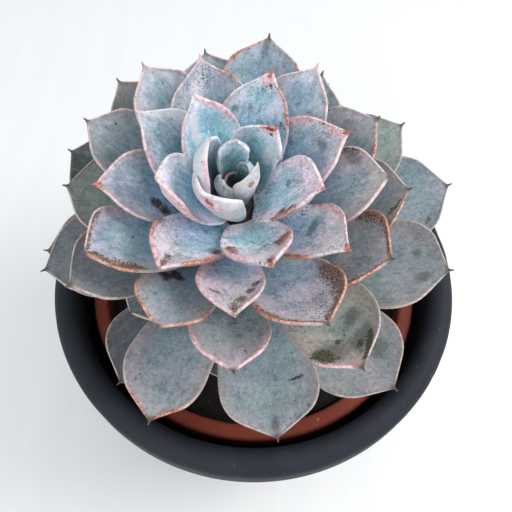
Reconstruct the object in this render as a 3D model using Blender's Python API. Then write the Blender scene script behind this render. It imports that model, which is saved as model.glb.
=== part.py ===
# Potted echeveria: a leaning blue-grey rosette in a red-brown nursery pot, which stands
# in a round charcoal planter. Metres, +Z up. The origin is the middle of the planter's
# underside, on the table, and the rosette leans towards -Y.

import math

import bmesh
import bpy
from mathutils import Matrix, Vector, noise

MM = 0.001
GAP = 0.3 * MM                 # clearance between pieces that touch
TURN_STEPS = 48                # sides of the turned pots

# Planter
LIP_RADIUS = 76.0 * MM         # outside of the rounded lip
LIP_ROUND = 4.8 * MM           # radius of the lip's rounded top
LIP_HEIGHT = 105.0 * MM        # top of the lip above the table
LIP_SKIRT = 13.0 * MM          # depth of the thick band under the lip
LIP_STEPS = 6                  # sides of the rounded top, seen in section
SKIRT_STEP = 2.4 * MM          # the wall sets back this far under the band
SKIRT_BEVEL = 1.2 * MM         # height of the band's slanted lower edge
PLANTER_BASE_RADIUS = 52.0 * MM
PLANTER_WALL = 4.0 * MM
PLANTER_FLOOR = 5.0 * MM
FOOT_ROUND = 2.0 * MM          # small round between wall and underside
FOOT_STEPS = 2

# Nursery pot
NURSERY_RIM_RADIUS = 62.9 * MM
NURSERY_RIM_WIDTH = 5.5 * MM
NURSERY_RIM_DEPTH = 9.0 * MM
NURSERY_RIM_BELOW_LIP = 9.8 * MM
NURSERY_RIM_ROUND = 1.5 * MM
NURSERY_RIM_STEPS = 3
NURSERY_BASE_RADIUS = 43.0 * MM
NURSERY_WALL = 1.6 * MM
NURSERY_FLOOR = 2.0 * MM
DRAIN_HOLES = 6
DRAIN_RADIUS = 4.0 * MM
DRAIN_CIRCLE = 26.0 * MM       # radius of the ring that the drain holes stand on
DRAIN_CUT = 10.0 * MM          # length of the tool that cuts them
HOLE_SIDES = 16

# Soil
SOIL_BELOW_RIM = 7.5 * MM      # edge of the soil below the nursery rim
SOIL_LUMP = 2.2 * MM           # height of its lumps
SOIL_LUMP_PITCH = 130.0        # large lumps in a metre
SOIL_CRUMB_PITCH = 290.0       # smaller ones, half as high
SOIL_RISE = 0.2 * MM           # the lumpy part stands this much above the edge
SOIL_STEPS = 40
SOIL_RINGS = 6
STEM_HOLE_DEPTH = 24.0 * MM

# Rosette axis: it starts over the pot and leans forward
AXIS_FOOT = Vector((-4.0 * MM, 5.0 * MM, LIP_HEIGHT - LIP_ROUND))
AXIS_LEAN = Vector((-0.028, -0.141, 1.0))
STEM_FOOT_RADIUS = 7.5 * MM
STEM_TOP_RADIUS = 4.4 * MM
STEM_TOP = 52.4 * MM           # along the axis, from the lip's plane
STEM_SIDES = 20

# Leaves, numbered from the heart outwards along one spiral
LEAF_COUNT = 56
HEART_LEAVES = 6               # the innermost ones grow together in the heart
HEART_CORE_RADIUS = 4.2 * MM
HEART_CORE_TAPER = 0.35        # top of the core as a share of its foot
HEART_CORE_SIDES = 12
HEART_CORE_FOOT = 52.8 * MM
HEART_CORE_TOP = 59.0 * MM
HEART_ROOT_RADIUS = 2.0 * MM
HEART_ROOT_TOP = 56.6 * MM
HEART_ROOT_PITCH = 0.6 * MM
LEAF_ANGLE = 137.6             # degrees from one leaf to the next, clockwise from above
FIRST_LEAF_AZIMUTH = 278.0     # degrees from +X, counter-clockwise
ROSETTE_REACH = 72.0 * MM
ROSETTE_SPREAD = 0.95          # power of a leaf's age that sets how far its tip reaches
ROSETTE_TOP = 75.0 * MM        # leaf tips near the heart, above the axis's foot
ROSETTE_DROP = 59.0 * MM       # how much lower the outermost tips are
ROSETTE_DOME = 3               # power of a leaf's age that sets how low its tip is
ROOT_TOP = 57.5 * MM
ROOT_PITCH = 1.0 * MM          # each leaf is rooted this much lower than the one before
LEAF_WIDTH = 36.5 * MM         # of the largest leaf
LEAF_WIDENING = 0.38           # power of a leaf's age that sets its width
LEAF_ROOT_HALF_WIDTH = 3.0 * MM
LEAF_TIP_HALF_WIDTH = 0.45 * MM
LEAF_THICKNESS = 3.0 * MM
LEAF_ROOT_THICKNESS = 1.7 * MM
LEAF_EDGE_THICKNESS = 0.8 * MM
LEAF_THINNER = 0.35            # how much thinner the youngest leaf is
LEAF_SWELL = 0.35              # full thickness is reached here, as a share of the length
LEAF_WIDEST = 0.70             # of the leaf's length
LEAF_FLANK = 1.15              # how late the leaf widens
LEAF_SHOULDER = 2.2            # how full the shoulders are
LEAF_POINT = 1.02              # how slender the short point is
LEAF_THINNING = 0.75           # from here on the leaf thins towards its tip
LEAF_THINNING_POWER = 1.25
LEAF_CUP = 1.6 * MM            # the margins stand this much above the middle
LEAF_CUP_FROM = 12.0           # leaves younger than this one are flatter across
LEAF_CUP_ROOT = 0.6            # the cup grows over this share of the length
LEAF_WRAP = 0.6                # how far a leaf follows a ring round the stem
LEAF_WRAP_LIMIT = 0.95         # smallest ring, as a share of the half width
LEAF_HANDLE = 0.36             # length of the curve's handles as a share of the chord
START_BEND = 12.0              # degrees that a leaf starts below its chord
END_BEND = 5.0                 # degrees that its tip turns up
YOUNG_START_BEND = 20.0        # further degrees for the youngest leaf
YOUNG_END_BEND = 50.0
YOUNG_LEAVES = 6.0             # the extra bend of the youngest leaves fades over so many
LEAF_SMOOTH_ANGLE = 50.0
ALONG = [0.0, 0.13, 0.28, 0.45, 0.62, 0.76, 0.87, 0.95, 1.0]
ACROSS = [-1.0, -0.55, 0.0, 0.55, 1.0]

# Leaves that stand off the spiral: number: (degrees, reach in mm, height in mm)
NUDGES = {
    0: (0, -1, -14),
    1: (0, -2, -12),
    2: (0, -4, -7),
    3: (0, -5, -6),
    4: (0, -7, 1),
    5: (-8, -7, 3),
    6: (0, -8, 2),
    7: (6, -2, 0),
    8: (-4, -8, 3),
    9: (1, 2, 2),
    10: (-1, 2, 1),
    11: (-5, -4, 1),
    12: (4, 4, 3),
    13: (1, 3, -1),
    14: (-1, 1, 1),
    15: (4, 0, 0),
    16: (4, 2, 0),
    17: (8, 1, 1),
    18: (0, 1, 0),
    19: (7, 0, 0),
    20: (10, 1, 1),
    21: (4, 0, 0),
    22: (-1, 1, 1),
    23: (5, -3, 0),
    24: (-3, -1, 0),
    25: (1, 0, 0),
    27: (-5, -3, -1),
    28: (1, -4, -3),
    29: (0, -6, 1),
    30: (-6, -5, -4),
    31: (0, -8, -1),
    32: (21, -3, -1),
    33: (-1, -7, -5),
    34: (-8, -6, 1),
    35: (-7, -4, -3),
    36: (-1, -10, -3),
    37: (0, -16, -14),
    38: (4, -8, -6),
    39: (-7, -2, 0),
    40: (0, -9, -4),
    41: (-6, -4, -3),
    42: (-7, 3, 0),
    43: (-2, -6, -4),
    45: (-7, -4, -1),
    46: (-7, -6, -4),
    47: (-10, 1, 0),
    48: (3, -2, -1),
    49: (-3, 3, 1),
    50: (-2, -6, 0),
    52: (-9, 2, 0),
    53: (0, -1, 0),
    55: (0, -20, -3),
}

# Leaves whose tip sweeps sideways of their body, in degrees, counter-clockwise
SWEEPS = {
    7: -12, 9: 4, 10: -9, 11: 9, 12: -5, 13: 5, 15: -4, 16: -4, 18: -7, 19: 13, 24: 4, 29: 3,
    42: 6}

# Leaves that are narrower or wider than the rest of their whorl
BREADTHS = {6: 1.15, 8: 1.1, 16: 0.94, 18: 0.92, 19: 0.93, 21: 0.84, 32: 0.92, 34: 0.84, 42: 0.9}


def make_material(name, colour, roughness, metallic=0.0):
    """One plain Principled material."""
    material = bpy.data.materials.new(name)
    material.use_nodes = True
    shader = material.node_tree.nodes["Principled BSDF"]
    shader.inputs["Base Color"].default_value = (*colour, 1.0)
    shader.inputs["Roughness"].default_value = roughness
    shader.inputs["Metallic"].default_value = metallic
    material.diffuse_color = (*colour, 1.0)
    return material


def add_object(name, bm, material, smooth_angle=35.0):
    """Turns a bmesh into a named object with smooth round faces."""
    mesh = bpy.data.meshes.new(name)
    bm.to_mesh(mesh)
    bm.free()
    mesh.materials.append(material)
    mesh.shade_smooth()
    mesh.set_sharp_from_angle(angle=math.radians(smooth_angle))
    obj = bpy.data.objects.new(name, mesh)
    bpy.context.scene.collection.objects.link(obj)
    return obj


def turn_profile(profile, steps):
    """Spins a closed (radius, height) outline about Z. Points at radius 0 meet at a pole."""
    bm = bmesh.new()
    verts = [bm.verts.new((radius, 0.0, height)) for radius, height in profile]
    edges = [bm.edges.new(pair) for pair in zip(verts[:-1], verts[1:])]
    if profile[0][0] > 0.0:
        edges.append(bm.edges.new((verts[-1], verts[0])))
    bmesh.ops.spin(
        bm, geom=verts + edges, cent=(0, 0, 0), axis=(0, 0, 1),
        angle=math.tau, steps=steps, use_merge=True)
    bmesh.ops.remove_doubles(bm, verts=bm.verts, dist=0.01 * MM)
    bmesh.ops.recalc_face_normals(bm, faces=bm.faces)
    return bm


def arc(centre, radius, start, end, steps):
    """Points on an arc in the (radius, height) plane, angles in degrees."""
    points = []
    for step in range(steps + 1):
        angle = math.radians(start + (end - start) * step / steps)
        points.append((centre[0] + radius * math.cos(angle),
                       centre[1] + radius * math.sin(angle)))
    return points


def planter_inner_radius(height):
    """Radius of the planter's inner wall at a height."""
    top = LIP_HEIGHT - LIP_SKIRT
    share = min(max(height / top, 0.0), 1.0)
    top_radius = LIP_RADIUS - 2.0 * LIP_ROUND
    return (PLANTER_BASE_RADIUS - PLANTER_WALL) * (1.0 - share) + top_radius * share


def make_planter(material):
    """The charcoal planter: flat underside, tapered wall, thick rounded lip."""
    lip_centre = (LIP_RADIUS - LIP_ROUND, LIP_HEIGHT - LIP_ROUND)
    skirt_foot = LIP_HEIGHT - LIP_SKIRT
    foot_centre = (PLANTER_BASE_RADIUS - FOOT_ROUND, FOOT_ROUND)
    profile = [(0.0, 0.0)]
    profile += arc(foot_centre, FOOT_ROUND, -90.0, 0.0, FOOT_STEPS)
    profile.append((LIP_RADIUS - SKIRT_STEP, skirt_foot - 0.5 * SKIRT_BEVEL))
    profile.append((LIP_RADIUS, skirt_foot + 0.5 * SKIRT_BEVEL))
    profile += arc(lip_centre, LIP_ROUND, 0.0, 180.0, LIP_STEPS)
    profile.append((planter_inner_radius(skirt_foot), skirt_foot))
    profile.append((planter_inner_radius(PLANTER_FLOOR), PLANTER_FLOOR))
    profile.append((0.0, PLANTER_FLOOR))
    return add_object("outer_pot", turn_profile(profile, TURN_STEPS), material)


def nursery_heights():
    """Standing height and rim height of the nursery pot."""
    return PLANTER_FLOOR + GAP, LIP_HEIGHT - NURSERY_RIM_BELOW_LIP


def nursery_inner_radius(height):
    """Radius of the nursery pot's inner wall at a height."""
    foot, rim = nursery_heights()
    share = (height - foot) / (rim - foot)
    base = NURSERY_BASE_RADIUS - NURSERY_WALL
    top = NURSERY_RIM_RADIUS - NURSERY_RIM_WIDTH
    return base * (1.0 - share) + top * share


def make_nursery_pot(material):
    """The red-brown nursery pot with its rolled rim and drain holes."""
    foot, rim = nursery_heights()
    rim_foot = rim - NURSERY_RIM_DEPTH
    rim_inner = NURSERY_RIM_RADIUS - NURSERY_RIM_WIDTH
    outer_round = (NURSERY_RIM_RADIUS - NURSERY_RIM_ROUND, rim - NURSERY_RIM_ROUND)
    inner_round = (rim_inner + NURSERY_RIM_ROUND, rim - NURSERY_RIM_ROUND)
    profile = [(0.0, foot), (NURSERY_BASE_RADIUS, foot)]
    profile.append((nursery_inner_radius(rim_foot) + NURSERY_WALL, rim_foot))
    profile.append((NURSERY_RIM_RADIUS, rim_foot))
    profile += arc(outer_round, NURSERY_RIM_ROUND, 0.0, 90.0, NURSERY_RIM_STEPS)
    profile += arc(inner_round, NURSERY_RIM_ROUND, 90.0, 180.0, NURSERY_RIM_STEPS)
    profile.append((nursery_inner_radius(foot + NURSERY_FLOOR), foot + NURSERY_FLOOR))
    profile.append((0.0, foot + NURSERY_FLOOR))
    pot = add_object("inner_pot", turn_profile(profile, TURN_STEPS), material)
    for index in range(DRAIN_HOLES):
        angle = math.tau * index / DRAIN_HOLES
        place = Vector((DRAIN_CIRCLE * math.cos(angle), DRAIN_CIRCLE * math.sin(angle), foot))
        cut_hole(pot, "drain_cutter_%d" % index, place, Vector((0, 0, 1)), DRAIN_RADIUS, DRAIN_CUT)
    return pot


def cut_hole(target, name, middle, axis, radius, length):
    """A round hole through a piece, by a Boolean with a cylinder that stays hidden."""
    bm = bmesh.new()
    bmesh.ops.create_cone(
        bm, cap_ends=True, segments=HOLE_SIDES, radius1=radius, radius2=radius, depth=length)
    mesh = bpy.data.meshes.new(name)
    bm.to_mesh(mesh)
    bm.free()
    cutter = bpy.data.objects.new(name, mesh)
    cutter.location = middle
    cutter.rotation_euler = axis.to_track_quat("Z", "Y").to_euler()
    cutter.hide_render = True
    cutter.display_type = "WIRE"
    bpy.context.scene.collection.objects.link(cutter)
    cut = target.modifiers.new(name, "BOOLEAN")
    cut.operation = "DIFFERENCE"
    cut.solver = "EXACT"
    cut.object = cutter


def axis_frame():
    """The rosette's own axes: sideways, backwards and along the stem."""
    along = AXIS_LEAN.normalized()
    side = (Vector((1, 0, 0)) - along * along.x).normalized()
    back = along.cross(side)
    return side, back, along


def axis_point(radius, azimuth, height):
    """A point by its distance from the stem's axis, azimuth and height along the axis."""
    side, back, along = axis_frame()
    turn = side * math.cos(azimuth) + back * math.sin(azimuth)
    return AXIS_FOOT + turn * radius + along * height


def soil_level():
    """Height of the soil's edge above the table."""
    return LIP_HEIGHT - NURSERY_RIM_BELOW_LIP - SOIL_BELOW_RIM


def stem_foot():
    """Height of the stem's lower end along the axis."""
    return soil_level() - (LIP_HEIGHT - LIP_ROUND) - STEM_HOLE_DEPTH


def stem_radius(height):
    """The stem narrows from its foot to its top."""
    share = (height - stem_foot()) / (STEM_TOP - stem_foot())
    return STEM_FOOT_RADIUS * (1.0 - share) + STEM_TOP_RADIUS * share


def make_soil(material):
    """A plug of soil that fills the nursery pot, lumpy on top, with a hole for the stem."""
    foot = nursery_heights()[0] + NURSERY_FLOOR + GAP
    level = soil_level()
    edge = nursery_inner_radius(level) - GAP
    profile = [(0.0, foot), (nursery_inner_radius(foot) - GAP, foot), (edge, level)]
    for ring in range(SOIL_RINGS - 1, 0, -1):
        profile.append((edge * ring / SOIL_RINGS, level + SOIL_RISE))
    profile.append((0.0, level + SOIL_RISE))
    bm = turn_profile(profile, SOIL_STEPS)
    for vert in bm.verts:
        if vert.co.z > level + 0.5 * SOIL_RISE:
            lump = noise.noise(vert.co * SOIL_LUMP_PITCH)
            crumb = noise.noise(vert.co * SOIL_CRUMB_PITCH)
            vert.co.z += SOIL_LUMP * (lump + 0.5 * crumb)
    soil = add_object("soil", bm, material, 60.0)
    hole_length = 2.0 * STEM_HOLE_DEPTH
    hole_middle = stem_foot() - GAP + 0.5 * hole_length
    along = axis_frame()[2]
    cut_hole(soil, "stem_hole_cutter", axis_point(0.0, 0.0, hole_middle), along,
             STEM_FOOT_RADIUS + GAP, hole_length)
    return soil


def make_stem(material):
    """The bare stem, from its hole in the soil to just under the heart."""
    length = STEM_TOP - stem_foot()
    bm = bmesh.new()
    bmesh.ops.create_cone(
        bm, cap_ends=True, segments=STEM_SIDES, depth=length,
        radius1=STEM_FOOT_RADIUS, radius2=STEM_TOP_RADIUS)
    turn = axis_frame()[2].to_track_quat("Z", "Y").to_matrix().to_4x4()
    middle = axis_point(0.0, 0.0, stem_foot() + 0.5 * length)
    bmesh.ops.transform(bm, matrix=Matrix.Translation(middle) @ turn, verts=bm.verts)
    return add_object("stem", bm, material)


def leaf_plan(number):
    """Sizes and place of one leaf: azimuth, root, tip, width, bend and thickness."""
    age = (number + 1.0) / LEAF_COUNT
    turn, reach, rise = NUDGES.get(number, (0.0, 0.0, 0.0))
    plan = {"azimuth": math.radians(FIRST_LEAF_AZIMUTH - LEAF_ANGLE * number + turn)}
    root_height = ROOT_TOP - ROOT_PITCH * number
    plan["root"] = (stem_radius(root_height) + GAP, root_height)
    if number < HEART_LEAVES:
        plan["root"] = (HEART_ROOT_RADIUS, HEART_ROOT_TOP - HEART_ROOT_PITCH * number)
    quarter_turn = 0.5 * math.pi * age ** ROSETTE_SPREAD
    plan["tip"] = (ROSETTE_REACH * math.sin(quarter_turn) + reach * MM,
                   ROSETTE_TOP - ROSETTE_DROP * age ** ROSETTE_DOME + rise * MM)
    plan["sweep"] = math.radians(SWEEPS.get(number, 0.0))
    plan["half_width"] = 0.5 * LEAF_WIDTH * age ** LEAF_WIDENING * BREADTHS.get(number, 1.0)
    youth = math.exp(-number / YOUNG_LEAVES)
    plan["start_bend"] = math.radians(START_BEND + YOUNG_START_BEND * youth)
    plan["end_bend"] = math.radians(END_BEND + YOUNG_END_BEND * youth)
    plan["thickness"] = LEAF_THICKNESS * (1.0 - LEAF_THINNER * youth)
    plan["cup"] = LEAF_CUP * min(1.0, number / LEAF_CUP_FROM)
    return plan


def leaf_profile(plan, along):
    """Place and slope of the leaf's middle line, a cubic curve from root to tip."""
    root = Vector(plan["root"])
    tip = Vector(plan["tip"])
    chord = tip - root
    slope = math.atan2(chord.y, chord.x)
    handle = LEAF_HANDLE * chord.length
    start = slope - plan["start_bend"]
    end = slope + plan["end_bend"]
    first = root + handle * Vector((math.cos(start), math.sin(start)))
    second = tip - handle * Vector((math.cos(end), math.sin(end)))
    rest = 1.0 - along
    place = (root * rest ** 3 + first * (3.0 * rest ** 2 * along)
             + second * (3.0 * rest * along ** 2) + tip * along ** 3)
    step = ((first - root) * rest ** 2 + (second - first) * (2.0 * rest * along)
            + (tip - second) * along ** 2)
    return place, math.atan2(step.y, step.x)


def leaf_half_width(plan, along):
    """Broad above the middle, narrow at the root, round shoulders and a short point."""
    widest = plan["half_width"]
    if along < LEAF_WIDEST:
        share = math.sin(0.5 * math.pi * along / LEAF_WIDEST) ** LEAF_FLANK
        return LEAF_ROOT_HALF_WIDTH + (widest - LEAF_ROOT_HALF_WIDTH) * share
    share = (along - LEAF_WIDEST) / (1.0 - LEAF_WIDEST)
    share = (1.0 - share ** LEAF_SHOULDER) ** LEAF_POINT
    return LEAF_TIP_HALF_WIDTH + (widest - LEAF_TIP_HALF_WIDTH) * share


def leaf_depth(plan, along, across):
    """Thickness of the leaf: fleshy in the middle, thin at the margins and the tip."""
    swell = min(1.0, along / LEAF_SWELL)
    middle = LEAF_ROOT_THICKNESS + (plan["thickness"] - LEAF_ROOT_THICKNESS) * swell
    if along > LEAF_THINNING:
        left = (1.0 - along) / (1.0 - LEAF_THINNING)
        middle = LEAF_EDGE_THICKNESS + (middle - LEAF_EDGE_THICKNESS) * left ** LEAF_THINNING_POWER
    return LEAF_EDGE_THICKNESS + (middle - LEAF_EDGE_THICKNESS) * (1.0 - across * across)


def leaf_point(plan, along, across, under):
    """A point of the leaf's upper or lower face. Across runs from -1 to 1."""
    place, slope = leaf_profile(plan, along)
    half_width = leaf_half_width(plan, along)
    outer = min(1.0, along / LEAF_CUP_ROOT)
    lift = plan["cup"] * (outer * across) ** 2 * half_width / plan["half_width"]
    if under:
        lift -= leaf_depth(plan, along, across)
    radius = place.x - lift * math.sin(slope)
    height = place.y + lift * math.cos(slope)
    turn = across * half_width / max(place.x, LEAF_WRAP_LIMIT * half_width)
    inward = LEAF_WRAP * (1.0 - math.cos(turn))
    spread = radius * math.sin(turn)
    forward = radius * (1.0 - inward)
    azimuth = plan["azimuth"] - plan["sweep"] * (1.0 - along ** 3) + math.atan2(spread, forward)
    return axis_point(math.hypot(forward, spread), azimuth, height)


def leaf_mesh(number):
    """One leaf: a grid laid on the upper face, extruded to the lower face."""
    plan = leaf_plan(number)
    bm = bmesh.new()
    bmesh.ops.create_grid(
        bm, x_segments=len(ALONG) - 1, y_segments=len(ACROSS) - 1, size=1.0)
    spots = {}
    for vert in bm.verts:
        column = round((vert.co.x + 1.0) * 0.5 * (len(ALONG) - 1))
        row = round((vert.co.y + 1.0) * 0.5 * (len(ACROSS) - 1))
        spots[vert] = (ALONG[column], ACROSS[row])
    bmesh.ops.triangulate(bm, faces=bm.faces, quad_method="FIXED")
    upper = list(bm.verts)
    extruded = bmesh.ops.extrude_face_region(bm, geom=list(bm.faces))
    lower = [item for item in extruded["geom"] if isinstance(item, bmesh.types.BMVert)]
    lower_spots = {}
    for vert in lower:
        nearest = min(upper, key=lambda other: (other.co - vert.co).length_squared)
        lower_spots[vert] = spots[nearest]
    for vert, (along, across) in spots.items():
        vert.co = leaf_point(plan, along, across, False)
    for vert, (along, across) in lower_spots.items():
        vert.co = leaf_point(plan, along, across, True)
    bmesh.ops.recalc_face_normals(bm, faces=bm.faces)
    return bm


def make_leaf(number, material):
    """One leaf as an object of its own."""
    return add_object("leaf_%02d" % number, leaf_mesh(number), material, LEAF_SMOOTH_ANGLE)


def make_heart(material):
    """The innermost leaves, grown together on the stem's tip, as one body."""
    length = HEART_CORE_TOP - HEART_CORE_FOOT
    bm = bmesh.new()
    bmesh.ops.create_cone(
        bm, cap_ends=True, segments=HEART_CORE_SIDES, depth=length,
        radius1=HEART_CORE_RADIUS, radius2=HEART_CORE_TAPER * HEART_CORE_RADIUS)
    turn = axis_frame()[2].to_track_quat("Z", "Y").to_matrix().to_4x4()
    middle = axis_point(0.0, 0.0, HEART_CORE_FOOT + 0.5 * length)
    bmesh.ops.transform(bm, matrix=Matrix.Translation(middle) @ turn, verts=bm.verts)
    heart = add_object("heart", bm, material, LEAF_SMOOTH_ANGLE)
    group = bpy.data.collections.new("heart_leaves")
    bpy.context.scene.collection.children.link(group)
    for number in range(HEART_LEAVES):
        leaf = make_leaf(number, material)
        bpy.context.scene.collection.objects.unlink(leaf)
        group.objects.link(leaf)
    join = heart.modifiers.new("join_leaves", "BOOLEAN")
    join.operation = "UNION"
    join.operand_type = "COLLECTION"
    join.collection = group
    join.solver = "EXACT"
    bpy.context.view_layer.update()
    evaluated = heart.evaluated_get(bpy.context.evaluated_depsgraph_get())
    joined = bpy.data.meshes.new_from_object(evaluated)
    heart.modifiers.clear()
    heart.data = joined
    for leaf in list(group.objects):
        bpy.data.objects.remove(leaf, do_unlink=True)
    bpy.data.collections.remove(group)
    return heart


def main():
    """Builds every piece in an empty file."""
    for obj in list(bpy.data.objects):
        bpy.data.objects.remove(obj, do_unlink=True)
    charcoal = make_material("charcoal", (0.028, 0.032, 0.042), 0.62)
    red_brown = make_material("red_brown", (0.24, 0.052, 0.028), 0.6)
    dark_soil = make_material("dark_soil", (0.012, 0.010, 0.009), 0.95)
    bark = make_material("bark", (0.16, 0.13, 0.10), 0.85)
    blue_grey = make_material("blue_grey", (0.20, 0.30, 0.33), 0.55)
    make_planter(charcoal)
    make_nursery_pot(red_brown)
    make_soil(dark_soil)
    make_stem(bark)
    make_heart(blue_grey)
    for number in range(HEART_LEAVES, LEAF_COUNT):
        make_leaf(number, blue_grey)


main()
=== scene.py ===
# %% [markdown]
# # A potted echeveria, leaf by leaf
# This lesson dresses a plain solid model of a succulent rosette in its two pots. The plain
# model is loaded first and is never moved. Each finer piece stands where its plain piece
# does and starts from the same sizes. Small tables hold what was then fitted.

# %% Load the plain model
import math
import random

import bmesh
import bpy
from mathutils import Matrix, Vector, noise


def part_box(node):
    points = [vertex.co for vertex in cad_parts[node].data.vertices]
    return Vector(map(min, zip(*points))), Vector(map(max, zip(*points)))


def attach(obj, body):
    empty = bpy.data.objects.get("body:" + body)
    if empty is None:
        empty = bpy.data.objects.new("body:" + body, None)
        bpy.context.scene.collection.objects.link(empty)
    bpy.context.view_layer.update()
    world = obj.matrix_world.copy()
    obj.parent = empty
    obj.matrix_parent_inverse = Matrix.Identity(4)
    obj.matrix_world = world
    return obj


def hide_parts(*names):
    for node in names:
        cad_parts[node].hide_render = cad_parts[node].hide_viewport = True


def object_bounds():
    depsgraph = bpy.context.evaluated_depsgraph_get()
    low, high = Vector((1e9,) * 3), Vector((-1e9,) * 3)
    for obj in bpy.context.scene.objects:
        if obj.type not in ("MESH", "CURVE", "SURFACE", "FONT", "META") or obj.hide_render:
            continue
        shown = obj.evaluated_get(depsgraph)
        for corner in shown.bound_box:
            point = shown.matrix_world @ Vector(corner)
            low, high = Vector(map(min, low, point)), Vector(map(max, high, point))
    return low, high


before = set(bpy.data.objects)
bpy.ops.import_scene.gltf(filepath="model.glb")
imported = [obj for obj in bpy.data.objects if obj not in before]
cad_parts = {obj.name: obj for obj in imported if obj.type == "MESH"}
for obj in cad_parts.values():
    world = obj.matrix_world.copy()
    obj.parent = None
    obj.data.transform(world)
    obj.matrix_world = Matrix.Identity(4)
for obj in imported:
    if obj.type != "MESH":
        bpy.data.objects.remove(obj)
plain_low, plain_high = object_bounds()
print("plain pieces:", len(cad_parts))

# %% [markdown]
# ## The camera
# The picture looks down on the rosette from in front, from close by, so the near leaves look
# larger than the far ones. A camera is placed by its position and by how far it looks down.
# Its axes are written out as a matrix, which leaves no doubt about which way is up.

# %% Camera
MM = 0.001
CAMERA_PLACE = Vector((0.5, -102.0, 293.0)) * MM
CAMERA_TILT = math.radians(60.6)       # below the horizon
CAMERA_ROLL = math.radians(1.6)
CAMERA_LENS = 39.4                     # mm
SENSOR_WIDTH = 36.0                    # mm
NEAREST_SEEN = 20.0 * MM


def make_camera():
    """The camera, looking down at the rosette from in front."""
    camera = bpy.data.objects.new("camera", bpy.data.cameras.new("camera"))
    camera.data.lens = CAMERA_LENS
    camera.data.sensor_width = SENSOR_WIDTH
    camera.data.clip_start = NEAREST_SEEN
    forward = Vector((0.0, math.cos(CAMERA_TILT), -math.sin(CAMERA_TILT)))
    level_up = Vector((0.0, math.sin(CAMERA_TILT), math.cos(CAMERA_TILT)))
    level_right = Vector((1.0, 0.0, 0.0))
    right = level_right * math.cos(CAMERA_ROLL) + level_up * math.sin(CAMERA_ROLL)
    up = level_up * math.cos(CAMERA_ROLL) - level_right * math.sin(CAMERA_ROLL)
    turn = Matrix((right, up, -forward)).transposed().to_4x4()
    camera.matrix_world = Matrix.Translation(CAMERA_PLACE) @ turn
    bpy.context.scene.collection.objects.link(camera)
    bpy.context.scene.camera = camera
    return camera


print("camera at", make_camera().location)

# %% [markdown]
# ## The light
# A window and a pale room light the plant: the light is broad, cool and soft, a little
# stronger from the back right, and it leaves a wide faint shadow at the front left. One large
# panel is the window, a wide one fills from the front left, and an even sky does the rest.

# %% Light
SKY_COLOUR = (0.965, 0.985, 1.0)
SKY_STRENGTH = 0.84
WINDOW_PLACE = Vector((0.44, 0.03, 0.52))
WINDOW_SIZE = 0.36
WINDOW_POWER = 2.45
FILL_PLACE = Vector((-0.35, -0.70, 0.6))
FILL_SIZE = 0.6
FILL_POWER = 2.6
PANEL_AIM = 0.6             # share of the plant's height that the panels face


def make_panel(name, place, size, power):
    """A square light panel that faces the plant."""
    data = bpy.data.lights.new(name, "AREA")
    data.size = size
    data.energy = power
    panel = bpy.data.objects.new(name, data)
    aim = Vector((0.0, 0.0, plain_high.z * PANEL_AIM)) - place
    turn = aim.to_track_quat("-Z", "Y").to_matrix().to_4x4()
    panel.matrix_world = Matrix.Translation(place) @ turn
    bpy.context.scene.collection.objects.link(panel)
    return panel


def make_sky():
    """An even pale surrounding that lights the plant from all sides."""
    world = bpy.data.worlds.new("sky")
    world.use_nodes = True
    background = world.node_tree.nodes["Background"]
    background.inputs["Color"].default_value = (*SKY_COLOUR, 1.0)
    background.inputs["Strength"].default_value = SKY_STRENGTH
    bpy.context.scene.world = world


make_sky()
make_panel("window", WINDOW_PLACE, WINDOW_SIZE, WINDOW_POWER)
make_panel("fill", FILL_PLACE, FILL_SIZE, FILL_POWER)
bpy.context.scene.view_settings.view_transform = "Standard"
print("panels:", [light.name for light in bpy.data.lights])

# %% [markdown]
# ## A small language for finishes
# A finish is a network of nodes. Wiring it by hand hides the idea behind it, so a Wire wraps
# one output and lets Python's own signs add the Math nodes: 1 - mask is one node. Everything
# else, such as a noise or a ramp, comes from one method of Network.

# %% Wire and network
class Wire:
    """One output of a node. Arithmetic on it adds Math nodes."""

    def __init__(self, finish, socket):
        self.finish = finish
        self.socket = socket

    def math(self, operation, first, second):
        """One Math node. Either side may be a wire or a number."""
        return self.finish.node("ShaderNodeMath", {"operation": operation}, {0: first, 1: second})

    def __add__(self, other):
        return self.math("ADD", self, other)

    def __sub__(self, other):
        return self.math("SUBTRACT", self, other)

    def __rsub__(self, other):
        return self.math("SUBTRACT", other, self)

    def __mul__(self, other):
        return self.math("MULTIPLY", self, other)

    def larger(self, other):
        """The larger of the two at each place."""
        return self.math("MAXIMUM", self, other)

    __radd__ = __add__
    __rmul__ = __mul__


class Network:
    """A material in the making, with one method that adds any node."""

    def __init__(self, name, roughness=0.5, **constants):
        self.material = bpy.data.materials.new(name)
        self.material.use_nodes = True
        self.tree = self.material.node_tree
        self.shader = self.tree.nodes["Principled BSDF"]
        self.shader.inputs["Roughness"].default_value = roughness
        for socket, value in constants.items():
            self.shader.inputs[socket.replace("_", " ")].default_value = value

    def node(self, kind, settings=None, values=None, output=0):
        """Adds a node, sets it up, feeds its sockets and gives one of its outputs."""
        made = self.tree.nodes.new(kind)
        for name, value in (settings or {}).items():
            if name == "stops":
                self.set_stops(made.color_ramp, value)
            else:
                setattr(made, name, value)
        for name, value in (values or {}).items():
            self.feed(made.inputs[name], value)
        return Wire(self, made.outputs[output])

    def set_stops(self, ramp, stops):
        """Writes the places and colours of a ramp."""
        while len(ramp.elements) < len(stops):
            ramp.elements.new(1.0)
        for element, (place, colour) in zip(ramp.elements, stops):
            element.position = place
            element.color = (*colour, 1.0)

    def feed(self, socket, value):
        """Links a wire to a socket, or sets the socket to a number or colour."""
        if isinstance(value, Wire):
            self.tree.links.new(value.socket, socket)
        elif isinstance(value, tuple) and socket.type == "RGBA":
            socket.default_value = (*value, 1.0)
        else:
            socket.default_value = value


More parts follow.
